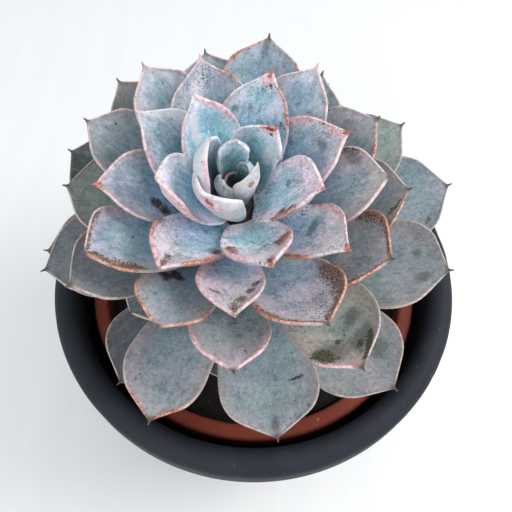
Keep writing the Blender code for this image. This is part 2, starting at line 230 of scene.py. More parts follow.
print("a wire can be added, subtracted, multiplied and compared")

# %% [markdown]
# ## Patterns for the finishes
# Most surfaces need the same few patterns: soft clouds for blotches, round dots for grains,
# smooth steps where one finish gives way to another, and ramps that turn a number into a
# colour. As methods of Finish they let each material below read like a recipe.

# %% Finish
DOT_CORE = 0.6        # share of a dot's radius that has its full strength
CHANCE_EDGE = 0.02    # how sharply the cells with a dot are told from those without


class Finish(Network):
    """A network with the patterns that the plant and its pots share."""

    def place(self):
        """The place on the object, in metres."""
        return self.node("ShaderNodeTexCoord", output="Object")

    def height_of(self, place):
        """The height of a place above the floor."""
        return self.node("ShaderNodeSeparateXYZ", {}, {0: place}, "Z")

    def attribute(self, name, output="Fac"):
        """A number that the mesh carries on its vertices."""
        return self.node("ShaderNodeAttribute", {"attribute_name": name}, output=output)

    def scaled(self, vector, factors):
        """A place stretched or a colour tinted, by one factor for each of its three numbers."""
        return self.node("ShaderNodeVectorMath", {"operation": "MULTIPLY"}, {0: vector, 1: factors})

    def cloud(self, vector, size, detail=3.0, roughness=0.55):
        """Soft noise between 0 and 1, with lumps of the given size."""
        values = {"Vector": vector, "Scale": 1.0 / size, "Detail": detail, "Roughness": roughness}
        return self.node("ShaderNodeTexNoise", {}, values)

    def step(self, value, start, end):
        """0 before start, 1 after end, smooth between. Start may be the larger one."""
        values = {"Value": value, "From Min": start, "From Max": end}
        return self.node("ShaderNodeMapRange", {"interpolation_type": "SMOOTHSTEP"}, values)

    def mix(self, share, first, second):
        """The first colour where share is 0 and the second where it is 1."""
        return self.node("ShaderNodeMix", {"data_type": "RGBA"}, {0: share, 6: first, 7: second}, 2)

    def ramp(self, value, *stops):
        """The colour that belongs to a number, from stops of (number, colour)."""
        return self.node("ShaderNodeValToRGB", {"stops": stops}, {"Fac": value})

    def shade(self, colour, factor):
        """A colour made lighter or darker."""
        return self.node("ShaderNodeVectorMath", {"operation": "SCALE"}, {0: colour, "Scale": factor})

    def dots(self, vector, size, share, radius):
        """Round dots, one at most in each cell of the given size, in a share of the cells."""
        values = {"Vector": vector, "Scale": 1.0 / size}
        distance = self.node("ShaderNodeTexVoronoi", {}, values, "Distance")
        chance = self.node("ShaderNodeTexVoronoi", {}, values, "Color")
        draw = self.node("ShaderNodeSeparateColor", {}, {0: chance})
        chosen = self.step(draw, share, share - CHANCE_EDGE)
        return self.step(distance, radius, DOT_CORE * radius) * chosen

    def colour(self, value):
        """Sets what colour the surface has."""
        self.feed(self.shader.inputs["Base Color"], value)

    def rough(self, value):
        """Sets how rough the surface is."""
        self.feed(self.shader.inputs["Roughness"], value)

    def relief(self, height, depth):
        """Fine relief, depth metres deep where height runs from 0 to 1."""
        bump = self.node("ShaderNodeBump", {}, {"Height": height, "Distance": depth})
        self.feed(self.shader.inputs["Normal"], bump)


print("patterns of a finish:", [name for name in vars(Finish) if not name.startswith("_")])

# %% [markdown] ## From a mesh to a piece Every piece ends in the same way. One helper does all
# of that.

# %% Helpers for pieces
def finish_piece(name, bm, finish, nodes, smooth_angle=50.0):
    """Turns a bmesh into a piece that stands for the named plain pieces."""
    mesh = bpy.data.meshes.new(name)
    bm.to_mesh(mesh)
    bm.free()
    mesh.materials.append(finish.material)
    mesh.shade_smooth()
    mesh.set_sharp_from_angle(angle=math.radians(smooth_angle))
    piece = bpy.data.objects.new(name, mesh)
    bpy.context.scene.collection.objects.link(piece)
    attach(piece, "root")
    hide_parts(*nodes)
    return piece


def blend(value, start, end):
    """0 before start, 1 after end, smooth between, for shapes."""
    share = min(max((value - start) / (end - start), 0.0), 1.0)
    return share * share * (3.0 - 2.0 * share)


def triangles(piece):
    """How many triangles a piece has."""
    return sum(len(face.vertices) - 2 for face in piece.data.polygons)


print("blend, a quarter of the way:", blend(0.25, 0.0, 1.0))

# %% [markdown]
# ## Spun shapes
# Pots, soil and stem are round, so each is an outline that is spun about the upright axis.
# The alternative, a cylinder pushed into shape ring by ring, takes more steps and is harder
# to read. Where the spin closes, its two seams lie on each other and are merged.

# %% Spun outlines
SAME_PLACE = 0.005 * MM


def spin_profile(profile, steps):
    """Turns an outline of (radius, height) about the upright axis."""
    bm = bmesh.new()
    verts = [bm.verts.new((radius, 0.0, height)) for radius, height in profile]
    edges = [bm.edges.new(pair) for pair in zip(verts[:-1], verts[1:])]
    bmesh.ops.spin(
        bm, geom=verts + edges, cent=(0, 0, 0), axis=(0, 0, 1),
        angle=math.tau, steps=steps, use_merge=True)
    bmesh.ops.remove_doubles(bm, verts=bm.verts, dist=SAME_PLACE)
    bmesh.ops.recalc_face_normals(bm, faces=bm.faces)
    return bm


def arc(centre, radius, start, end, steps):
    """Points of an arc in the (radius, height) plane, angles in degrees."""
    points = []
    for step in range(steps + 1):
        angle = math.radians(start + (end - start) * step / steps)
        points.append((centre[0] + radius * math.cos(angle), centre[1] + radius * math.sin(angle)))
    return points


print("points on a quarter round:", len(arc((0.0, 0.0), MM, 0.0, 90.0, 6)))

# %% [markdown] ## The floor A pale board surface.

# %% Floor
FLOOR_RADIUS = 4.0
FLOOR_BELOW = 0.2 * MM
FLOOR_SIDES = 96
FLOOR_GRAIN = 12.0 * MM
GRAIN_STRETCH = (1.0, 0.08, 1.0)       # the grain runs along Y


def make_floor():
    """A pale disc just under the planter."""
    finish = Finish("pale_floor", roughness=0.55)
    grain = finish.cloud(finish.scaled(finish.place(), GRAIN_STRETCH), FLOOR_GRAIN, 4.0)
    finish.colour(finish.mix(grain, (0.80, 0.81, 0.82), (0.86, 0.865, 0.87)))
    bm = bmesh.new()
    bmesh.ops.create_circle(bm, cap_ends=True, segments=FLOOR_SIDES, radius=FLOOR_RADIUS)
    bmesh.ops.translate(bm, verts=bm.verts, vec=(0, 0, -FLOOR_BELOW))
    mesh = bpy.data.meshes.new("floor")
    bm.to_mesh(mesh)
    bm.free()
    mesh.materials.append(finish.material)
    floor = bpy.data.objects.new("floor", mesh)
    bpy.context.scene.collection.objects.link(floor)
    return floor


print("floor:", make_floor().name)

# %% [markdown]
# ## The rosette's rule
# An echeveria adds each leaf about 137.6 degrees round from the last, so the leaves lie on
# one spiral and never stack. A leaf has a number, counted from the heart. Its age sets how
# wide it is, how far it reaches and how low it hangs. Most of these sizes repeat the plain
# model's. The bends of the young leaves and the widest place of the old ones are set anew.

# %% Sizes of the rosette
AXIS_FOOT = Vector((-4.0, 5.0, 100.2)) * MM
AXIS_LEAN = Vector((-0.028, -0.141, 1.0))
LEAF_COUNT = 56
HEART_LEAVES = 6
LEAF_ANGLE = 137.6
FIRST_LEAF_AZIMUTH = 278.0
ROSETTE_REACH = 72.0 * MM
ROSETTE_SPREAD = 0.95
ROSETTE_TOP = 75.0 * MM
ROSETTE_DROP = 59.0 * MM
ROSETTE_DOME = 3
STEM_FOOT = -36.4 * MM          # lower end of the stem along the axis, in its hole
STEM_TOP = 52.4 * MM
STEM_FOOT_RADIUS = 7.5 * MM
STEM_TOP_RADIUS = 4.4 * MM
GAP = 0.3 * MM
ROOT_TOP = 57.5 * MM
ROOT_PITCH = 1.0 * MM
HEART_ROOT_RADIUS = 2.0 * MM
HEART_ROOT_TOP = 56.6 * MM
HEART_ROOT_PITCH = 0.6 * MM
LEAF_WIDTH = 36.5 * MM
LEAF_WIDENING = 0.38
LEAF_ROOT_HALF_WIDTH = 3.0 * MM
LEAF_THICKNESS = 3.0 * MM
LEAF_ROOT_THICKNESS = 1.7 * MM
LEAF_EDGE_THICKNESS = 0.8 * MM
LEAF_THINNER = 0.35
LEAF_SWELL = 0.35
LEAF_WIDEST = 0.72           # how far out the old leaves are widest
YOUNG_WIDEST = 0.56          # the same for the young ones
LEAF_FLANK = 1.15            # lower is broader near the root
YOUNG_FLANK = 0.45
LEAF_THINNING = 0.75
LEAF_THINNING_POWER = 1.25
LEAF_CUP = 1.6 * MM
LEAF_CUP_FROM = 12.0
LEAF_CUP_ROOT = 0.6
LEAF_WRAP = 0.6
LEAF_WRAP_LIMIT = 0.95
LEAF_HANDLE = 0.36
START_BEND = 12.0
END_BEND = 5.0
YOUNG_START_BEND = -10.0
YOUNG_END_BEND = 28.0
START_CURL = 0.6             # share of a leaf's own curl that its root takes
YOUNG_LEAVES = 6.0
print("leaves on the spiral:", LEAF_COUNT)

# %% [markdown]
# ## How single leaves differ
# A real plant is never quite regular, so small tables say how a leaf stands off the rule.
# They start from the plain model's values. Two thirds of the leaves then follow the
# photograph more closely, most by a millimetre or two, a few degrees or a slightly other
# width. The heart, leaves 6 to 17 inside the rosette and the tips of leaves 32, 39 and 45
# differ more, in places by 4 to 8 mm.

# %% Tables of single leaves
# Leaf number: (degrees round, reach in mm, height in mm) off the rule
NUDGES = {
    0: (0, -1, -14), 1: (0, -2, -12), 2: (38, -3.4, -6.5), 3: (0, -5, -6), 4: (-2, -6.2, 1),
    5: (29, -6.8, 2.5), 6: (-20, -9.2, 5.4), 7: (8, -2.4, -0.5), 8: (-31, -7.4, 1.0),
    9: (1, 2, 2), 10: (-1.5, 1, 0.4), 11: (-3, -5.5, 4.2), 12: (4, 2.8, 2.7), 13: (1, 1.3, -1),
    14: (-1, 1, 1), 15: (4, 0, 0), 16: (4, 0.4, 0), 17: (9, 1, 1), 18: (0, 0.3, 0),
    19: (6, -1.6, 0), 20: (10, -0.7, 1), 21: (4, -1.5, 0), 22: (-1, 0.2, 1), 23: (5, -4, 0),
    24: (-3, -1.3, 0), 25: (2, 0, 0), 26: (0, -1, 0), 27: (-5, -3, -1), 28: (3, -6, -3),
    29: (0, -7, 1), 30: (-6, -5, -4), 31: (0, -8, -1), 32: (21, -3, -1), 33: (2, -8.5, -4),
    34: (-8, -6, 1), 35: (-7, -3.2, -3), 36: (-1, -10, -3), 37: (0, -16, -14), 38: (4, -8, -6),
    39: (-7, -2, 0), 40: (0, -9, -4), 41: (-6, -4, -3), 42: (-7, 3, 0), 43: (-2, -6, -4),
    45: (-7, -4, -1), 46: (-7, -6, -4), 47: (-10, 1, 0), 48: (3, -2, -1), 49: (-3, 3, 1),
    50: (-2, -6, 0), 52: (-9, 2, 0), 53: (0, -1, 0), 55: (0, -20, -3)}
# Leaf number: degrees that its tip sweeps sideways
SWEEPS = {
    4: -24, 5: 35, 6: -24, 7: -25, 8: -12, 9: -1, 10: -19, 11: 15, 12: -8, 14: 3, 15: -14, 16: 12,
    17: -4, 18: -7, 19: 13, 21: 6, 23: -4, 24: 3, 29: 6, 32: 8, 34: 5, 39: -8, 40: 6, 42: 6,
    45: 10}
# Leaf number: width against the rest of its whorl
BREADTHS = {
    2: 0.75, 4: 1.7, 5: 0.58, 6: 1.2, 7: 1.05, 8: 1.6, 9: 1.12, 10: 1.08, 11: 1.12, 12: 1.18,
    13: 1.04, 14: 1.15, 15: 1.25, 16: 0.96, 17: 1.25, 18: 0.92, 21: 0.8, 22: 0.95, 24: 0.92,
    27: 0.88, 29: 0.84, 32: 0.88, 34: 0.8, 35: 0.8, 39: 0.9, 41: 0.85, 42: 0.8, 45: 0.88,
    47: 0.92}
# Leaf number: how much fuller its shoulders are
FULLNESS = {7: 2.2, 10: 1.3, 13: 1.1, 24: 1.35, 29: 1.6, 31: 1.35, 47: 1.25}
# Leaf number: degrees that it curls in more than its whorl
CURLS = {5: -14, 6: 16, 8: -8, 11: 14}
# Leaf number: how far its outline is that of an old leaf, narrow near the root
MATURE = {8: 0.2}
print("leaves off the rule:", len(NUDGES))

# %% [markdown]
# ## Places round the stem
# The rosette leans a little to the front, so it has axes of its own. A place on it is given
# as a gardener would say it: how far from the stem, in which direction and how high up. One
# function turns that into a point, and nothing else has to know about the lean.

# %% Places round the stem
def axis_frame():
    """The rosette's own axes: sideways, backwards and along the stem."""
    along = AXIS_LEAN.normalized()
    side = (Vector((1, 0, 0)) - along * along.x).normalized()
    return side, along.cross(side), along


SIDE, BACK, UP_STEM = axis_frame()


def axis_point(radius, azimuth, height):
    """A point by its distance from the stem's axis, azimuth and height along the axis."""
    turn = SIDE * math.cos(azimuth) + BACK * math.sin(azimuth)
    return AXIS_FOOT + turn * radius + UP_STEM * height


def stem_radius(height):
    """The stem narrows from its foot to its top."""
    share = (height - STEM_FOOT) / (STEM_TOP - STEM_FOOT)
    return STEM_FOOT_RADIUS * (1.0 - share) + STEM_TOP_RADIUS * share


print("the stem leans", round(math.degrees(UP_STEM.angle(Vector((0, 0, 1)))), 1), "degrees")

# %% [markdown]
# ## The plan of one leaf
# Before a leaf is drawn, its number is turned into plain sizes: where its root and tip are,
# how wide and thick it is and how much it bends. Its middle line is a cubic curve between
# root and tip, because two bends are enough for a leaf that rises, hangs and curls in.

# %% One leaf's plan
def leaf_plan(number):
    """Sizes and place of one leaf: azimuth, root, tip, width, bend and thickness."""
    age = (number + 1.0) / LEAF_COUNT
    turn, reach, rise = NUDGES.get(number, (0.0, 0.0, 0.0))
    plan = {"number": number, "age": age}
    plan["azimuth"] = math.radians(FIRST_LEAF_AZIMUTH - LEAF_ANGLE * number + turn)
    root_height = ROOT_TOP - ROOT_PITCH * number
    plan["root"] = (stem_radius(root_height) + GAP, root_height)
    if number < HEART_LEAVES:
        plan["root"] = (HEART_ROOT_RADIUS, HEART_ROOT_TOP - HEART_ROOT_PITCH * number)
    quarter_turn = 0.5 * math.pi * age ** ROSETTE_SPREAD
    plan["tip"] = (ROSETTE_REACH * math.sin(quarter_turn) + reach * MM,
                   ROSETTE_TOP - ROSETTE_DROP * age ** ROSETTE_DOME + rise * MM)
    plan["sweep"] = math.radians(SWEEPS.get(number, 0.0))
    plan["half_width"] = 0.5 * LEAF_WIDTH * age ** LEAF_WIDENING * BREADTHS.get(number, 1.0)
    youth = math.exp(-number / YOUNG_LEAVES)
    curl = CURLS.get(number, 0.0)
    plan["start_bend"] = math.radians(START_BEND + YOUNG_START_BEND * youth + START_CURL * curl)
    plan["end_bend"] = math.radians(END_BEND + YOUNG_END_BEND * youth + curl)
    plan["thickness"] = LEAF_THICKNESS * (1.0 - LEAF_THINNER * youth)
    plan["cup"] = LEAF_CUP * min(1.0, number / LEAF_CUP_FROM)
    chord = Vector(plan["tip"]) - Vector(plan["root"])
    plan["length"] = chord.length
    return plan


def leaf_profile(plan, along):
    """Place and slope of the leaf's middle line, a cubic curve from root to tip."""
    root = Vector(plan["root"])
    tip = Vector(plan["tip"])
    chord = tip - root
    slope = math.atan2(chord.y, chord.x)
    handle = LEAF_HANDLE * chord.length
    start = slope - plan["start_bend"]
    end = slope + plan["end_bend"]
    first = root + handle * Vector((math.cos(start), math.sin(start)))
    second = tip - handle * Vector((math.cos(end), math.sin(end)))
    rest = 1.0 - along
    place = (root * rest ** 3 + first * (3.0 * rest ** 2 * along)
             + second * (3.0 * rest * along ** 2) + tip * along ** 3)
    step = ((first - root) * rest ** 2 + (second - first) * (2.0 * rest * along)
            + (tip - second) * along ** 2)
    return place, math.atan2(step.y, step.x)


print("leaf 20 is", round(leaf_plan(20)["length"] / MM, 1), "mm long")

# %% [markdown]
# ## The outline of a leaf
# Seen flat, a leaf is a spoon with a short needle-like point. Young leaves are broad down to
# the root, old ones are narrow there. The outline is a formula in three stretches, flank,
# shoulder and point, because a formula can change from leaf to leaf along the spiral.

# %% Leaf outline
LEAF_SHOULDER = 2.1         # how full the shoulders are
OLD_SHOULDER = 0.8          # how much fuller they are on the old leaves
YOUNG_SHOULDER = 0.3        # how much less full they are in the heart
LEAF_POINT_FALL = 0.80
LEAF_POINT_HOLLOW = 0.50    # how hollow the outline is just before the point
OLD_POINT_HOLLOW = 0.37     # the same on the oldest leaf
HOLLOW_FROM = 0.58          # where the hollow begins, between the widest place and the point
OLD_HOLLOW_FROM = 0.70
POINT_LENGTH = 2.6 * MM
OLD_POINT_LENGTH = 0.8 * MM
POINT_RADIUS = 0.20 * MM
POINT_FLARE = 1.5 * MM      # how much the point widens down to the blade
POINT_FLARE_POWER = 1.3
LONGEST_POINT = 0.07        # longest point, as a share of the leaf's length
POINT_IN_BLADE = 0.45       # share of the point by which the blade reaches into it
UNEVEN_MARGIN = 0.05        # how much one margin may stand off the other
MARGIN_WAVES = 3.0          # waves on one margin
OUTLINE_SEED = 3.7          # gives every leaf waves of its own
SIDE_SEED = 1.3             # and each of its two margins
GROWN_LEAVES = (14.0, 26.0)   # leaf numbers over which the outline turns to an old leaf's
SLIM_LEAVES = (7.0, 13.0)     # leaf numbers over which the slim shoulders of the heart fill out


def leaf_half_width(plan, along, across=0.0):
    """Broad above the middle, narrow at the root, round shoulders and a slender point."""
    widest = plan["half_width"]
    seed = OUTLINE_SEED * plan["number"] + math.copysign(SIDE_SEED, across)
    widest *= 1.0 + UNEVEN_MARGIN * noise.noise(Vector((MARGIN_WAVES * along, seed, 0.5)))
    grown = MATURE.get(plan["number"], blend(plan["number"], *GROWN_LEAVES))
    widest_at = YOUNG_WIDEST + (LEAF_WIDEST - YOUNG_WIDEST) * grown
    if along < widest_at:
        flank = YOUNG_FLANK + (LEAF_FLANK - YOUNG_FLANK) * grown
        share = math.sin(0.5 * math.pi * along / widest_at) ** flank
        return LEAF_ROOT_HALF_WIDTH + (widest - LEAF_ROOT_HALF_WIDTH) * share
    point = POINT_LENGTH + OLD_POINT_LENGTH * plan["age"]
    point = min(point / plan["length"], LONGEST_POINT)
    out = min(1.0, (along - widest_at) / (1.0 - widest_at - POINT_IN_BLADE * point))
    youth = 1.0 - blend(plan["number"], *SLIM_LEAVES)
    shoulder = LEAF_SHOULDER + OLD_SHOULDER * grown - YOUNG_SHOULDER * youth
    shoulder *= FULLNESS.get(plan["number"], 1.0)
    blade = widest * (1.0 - out ** shoulder) ** LEAF_POINT_FALL
    hollow = LEAF_POINT_HOLLOW + (OLD_POINT_HOLLOW - LEAF_POINT_HOLLOW) * plan["age"]
    hollow_from = HOLLOW_FROM + (OLD_HOLLOW_FROM - HOLLOW_FROM) * plan["age"]
    blade *= 1.0 - hollow * blend(out, hollow_from, 1.0)
    left = min(1.0, (1.0 - along) / (2.0 * point))
    spike = POINT_RADIUS + POINT_FLARE * left ** POINT_FLARE_POWER
    soft = POINT_FLARE * left
    return 0.5 * (blade + spike + math.hypot(blade - spike, soft))


print("half width of leaf 40:", round(leaf_half_width(leaf_plan(40), 0.6) / MM, 1), "mm")

# %% [markdown]
# ## The thickness of a leaf
# A leaf is fleshy along its middle and thin at its margins, and it thins out towards the
# point. Solidify would give it the same thickness everywhere, so a formula gives the depth
# at each place instead.

# %% Leaf thickness
YOUNG_EDGE = 0.6              # thickness of a heart leaf's margin against an old leaf's
THIN_EDGES = (2.0, 12.0)      # leaf numbers over which the margins reach their full thickness


def leaf_depth(plan, along, across):
    """Thickness of the leaf: fleshy in the middle, thin at the margins, round at the point."""
    swell = min(1.0, along / LEAF_SWELL)
    middle = LEAF_ROOT_THICKNESS + (plan["thickness"] - LEAF_ROOT_THICKNESS) * swell
    if along > LEAF_THINNING:
        left = (1.0 - along) / (1.0 - LEAF_THINNING)
        middle = LEAF_EDGE_THICKNESS + (middle - LEAF_EDGE_THICKNESS) * left ** LEAF_THINNING_POWER
    full = blend(plan["number"], *THIN_EDGES)
    edge = LEAF_EDGE_THICKNESS * (YOUNG_EDGE + (1.0 - YOUNG_EDGE) * full)
    depth = edge + (middle - edge) * (1.0 - across * across)
    return min(depth, 2.0 * leaf_half_width(plan, along))


print("leaf 40 is", round(leaf_depth(leaf_plan(40), 0.6, 0.0) / MM, 1), "mm thick")

# %% [markdown]
# ## Waves and folds
# No two leaves are alike: their margins wave a little, their faces have shallow dents, and
# near the tip the two halves fold up from the middle. Smooth noise gives the waves, with a
# seed from the leaf's number, so that the same leaf comes out the same every time.

# %% Waves and folds
POINT_LIFT = 0.4 * MM         # an old leaf's point curls up by this much
YOUNG_POINT_LIFT = -0.8 * MM
FOLD_SLOPE = 0.13             # how steeply the two halves rise from the middle near the tip
FOLD_ROUND = 1.5 * MM
WAVE_HEIGHT = 0.7 * MM
DENT_HEIGHT = 0.35 * MM
WAVES_ALONG = 4.0             # waves of a margin from root to tip
DENTS_ALONG = 5.0             # dents of a face from root to tip
DENTS_ACROSS = 2.2
WAVE_SEED = 7.31
MARGIN_SEED = 1.7
WAVES_BEGIN = (0.25, 0.7)     # stretches of the leaf, from 0 at the root to 1 at the tip
WAVES_END = (0.93, 1.0)
FOLD_BEGINS = (0.55, 0.9)
POINT_CURLS = (0.86, 1.0)
CURLED_LEAVES = (24.0, 44.0)  # leaf numbers over which the points turn from down to up
BENT_LEAVES = (5.0, 9.0)      # leaf numbers over which the points begin to bend at all


def leaf_wave(plan, along, across, half_width):
    """Small hollows and waves, so that no two leaves are alike, and the fold near the tip."""
    seed = WAVE_SEED * plan["number"]
    outer = blend(along, *WAVES_BEGIN) * (1.0 - blend(along, *WAVES_END))
    side = math.copysign(MARGIN_SEED, across) + seed
    edge = noise.noise(Vector((WAVES_ALONG * along, side, seed)))
    dent = noise.noise(Vector((DENTS_ALONG * along, DENTS_ACROSS * across, seed)))
    lift = WAVE_HEIGHT * edge * across ** 2 * outer + DENT_HEIGHT * dent * outer
    rise = math.hypot(across * half_width, FOLD_ROUND) - FOLD_ROUND
    lift += FOLD_SLOPE * rise * blend(along, *FOLD_BEGINS)
    old = blend(plan["number"], *CURLED_LEAVES)
    point_lift = YOUNG_POINT_LIFT * (1.0 - old) + POINT_LIFT * old
    return lift + point_lift * blend(along, *POINT_CURLS) * blend(plan["number"], *BENT_LEAVES)


lifts = [leaf_wave(leaf_plan(40), 0.6, side, leaf_plan(40)["half_width"]) for side in (-0.9, 0.9)]
print("leaf 40's margins are lifted by", [round(lift / MM, 2) for lift in lifts], "mm")

# %% [markdown]
# ## A point on a leaf
# Now the parts come together. A place on a leaf is two numbers, along it and across it. One
# function turns them into a point in space: on the middle line, lifted by cup, wave and
# rim, and wrapped a little round the stem. The rim is a quarter round, not a knife edge.

# %% A point on a leaf
RIM_ROUND = 0.4 * MM
RIM_LEFT = 0.06               # share of the rim's height that stays a flat band
RIDGE_HEIGHT = 0.16 * MM      # a low ridge runs inside the rim of the upper face
RIDGE_FROM_RIM = 0.9 * MM
RIDGE_WIDTH = 0.6 * MM
RIDGE_BEGINS = (0.3, 0.6)
RIDGE_ENDS = (0.9, 1.0)


def rim_drop(from_rim, rim):
    """How far the face falls to the margin, as a quarter round."""
    inward = max(0.0, 1.0 - from_rim / rim)
    return rim * (1.0 - RIM_LEFT) * (1.0 - math.sqrt(max(0.0, 1.0 - inward * inward)))


def leaf_point(plan, along, across, under):
    """A point of the leaf's upper or lower face. Across runs from -1 to 1."""
    place, slope = leaf_profile(plan, along)
    half_width = leaf_half_width(plan, along, across)
    outer = min(1.0, along / LEAF_CUP_ROOT)
    lift = plan["cup"] * (outer * across) ** 2 * half_width / plan["half_width"]
    lift += leaf_wave(plan, along, across, half_width)
    depth = leaf_depth(plan, along, across)
    from_rim = (1.0 - abs(across)) * half_width
    drop = rim_drop(from_rim, min(RIM_ROUND, 0.5 * depth))
    ridge = math.exp(-((from_rim - RIDGE_FROM_RIM) / RIDGE_WIDTH) ** 2)
    ridge *= blend(along, *RIDGE_BEGINS) * (1.0 - blend(along, *RIDGE_ENDS))
    if under:
        lift += drop - depth
    else:
        lift += RIDGE_HEIGHT * ridge - drop
    radius = place.x - lift * math.sin(slope)
    height = place.y + lift * math.cos(slope)
    turn = across * half_width / max(place.x, LEAF_WRAP_LIMIT * half_width)
    spread = radius * math.sin(turn)
    forward = radius * (1.0 - LEAF_WRAP * (1.0 - math.cos(turn)))
    azimuth = plan["azimuth"] - plan["sweep"] * (1.0 - along ** 3) + math.atan2(spread, forward)
    return axis_point(math.hypot(forward, spread), azimuth, height)


leaf_tip = leaf_point(leaf_plan(40), 1.0, 0.0, False)
print("the tip of leaf 40 is at", [round(value / MM, 1) for value in leaf_tip], "mm")

# %% [markdown]
# ## Marks on the leaves
# Old leaves of a plant that stands outside carry brown cork along their margins, orange
# scars, dark specks and smudges of soil. A mark belongs to its leaf, so it is placed on the
# leaf: by a margin and a stretch of it, or by a spot. Each vertex then holds how strong each
# kind of mark is there, and the finish breaks the edge of the mark up with fine noise.
# Bloom is thick wax, and along the margin of leaf 11 it is also painted light on the lit half. Blush
# is pink skin, rust is an orange scar and gold a yellow one. Cork is brown and crusty. Grime is
# a smudge of soil and moss is dark crumbs. Debris is dark red-brown crumbs that also stand for
# painted shade in the gaps under the point of leaf 16 and where leaves 11 and 14 overlap.

# %% Marks along a margin
KINDS = ["bloom", "blush", "rust", "gold", "cork", "grime", "moss", "speck", "debris"]
# (leaf, kind, side, start and end along the leaf, depth from the margin in mm)
MARGIN_MARKS = [
    # The bloom along the margin of leaf 11 is also painted light on the lit half of that leaf.
    (6, "bloom", 1, 0.1, 1.3, 12.0), (11, "bloom", 1, 0.25, 1.1, 9.0),
    (14, "bloom", -1, 0.5, 1.0, 5.0), (24, "bloom", 1, 0.5, 0.9, 6.0),
    (6, "blush", 1, 0.6, 0.9, 1.2), (9, "blush", -1, 0.62, 0.97, 4.0),
    (9, "blush", 1, 0.70, 0.86, 2.0), (10, "rust", -1, 0.28, 0.80, 4.2),
    (11, "blush", 1, 0.35, 1.0, 5.0), (12, "rust", -1, 0.62, 0.93, 1.6),
    (13, "blush", -1, 0.45, 0.9, 3.0), (13, "blush", 1, 0.5, 0.9, 2.6),
    (14, "blush", 1, 0.62, 0.9, 2.6), (15, "blush", 1, 0.58, 0.92, 4.0),
    (16, "rust", -1, 0.56, 0.86, 2.2), (16, "blush", -1, 0.8, 0.99, 3.4),
    (16, "rust", 1, 0.52, 0.90, 2.6), (16, "blush", 1, 0.4, 0.86, 5.0),
    (17, "rust", -1, 0.80, 0.92, 1.4), (18, "rust", -1, 0.48, 0.84, 2.8),
    (18, "blush", 1, 0.42, 0.95, 3.6), (19, "blush", -1, 0.66, 0.97, 1.8),
    (19, "rust", 1, 0.93, 1.0, 2.0), (21, "blush", -1, 0.5, 1.0, 2.2),
    (21, "blush", 1, 0.5, 0.8, 1.6), (23, "cork", 1, 0.7, 0.9, 3.0),
    (24, "cork", -1, 0.82, 1.02, 4.6), (24, "cork", 1, 0.70, 1.06, 8.0),
    (24, "rust", 1, 0.80, 1.02, 3.0),
    (24, "gold", 1, 0.76, 0.93, 1.5), (25, "rust", 1, 0.82, 0.97, 2.4),
    (25, "rust", -1, 0.78, 0.9, 1.6), (26, "cork", 1, 0.52, 1.06, 8.5),
    (26, "rust", 1, 0.62, 1.0, 2.2), (26, "rust", -1, 0.58, 0.97, 2.4),
    (26, "cork", -1, 0.70, 1.02, 4.6), (28, "rust", -1, 0.82, 0.97, 1.5),
    (29, "rust", -1, 0.76, 0.99, 1.2), (29, "rust", 1, 0.80, 0.97, 1.2),
    (31, "rust", 1, 0.60, 1.0, 3.2), (31, "cork", 1, 0.62, 1.04, 5.4),
    (31, "cork", -1, 0.74, 0.99, 4.4), (31, "rust", -1, 0.70, 0.98, 2.4),
    (32, "rust", -1, 0.66, 0.88, 1.6), (34, "blush", -1, 0.72, 1.0, 3.0),
    (34, "blush", 1, 0.72, 1.0, 3.0), (36, "rust", -1, 0.80, 0.98, 2.0),
    (39, "blush", -1, 0.84, 0.98, 3.0), (42, "rust", -1, 0.9, 1.0, 1.4),
    (42, "rust", 1, 0.9, 1.0, 1.4), (45, "rust", -1, 0.7, 0.9, 1.2)]
print("marks along a margin:", len(MARGIN_MARKS))

# %% [markdown]
# ## Spots
# A spot is a soft oval anywhere on a leaf. Scars, smudges and crumbs of dirt are spots, and
# so is the bloom that is thick on some of the young leaves. A painted picture could hold
# them too, but a spot keeps its place on the leaf when the leaf is reshaped.

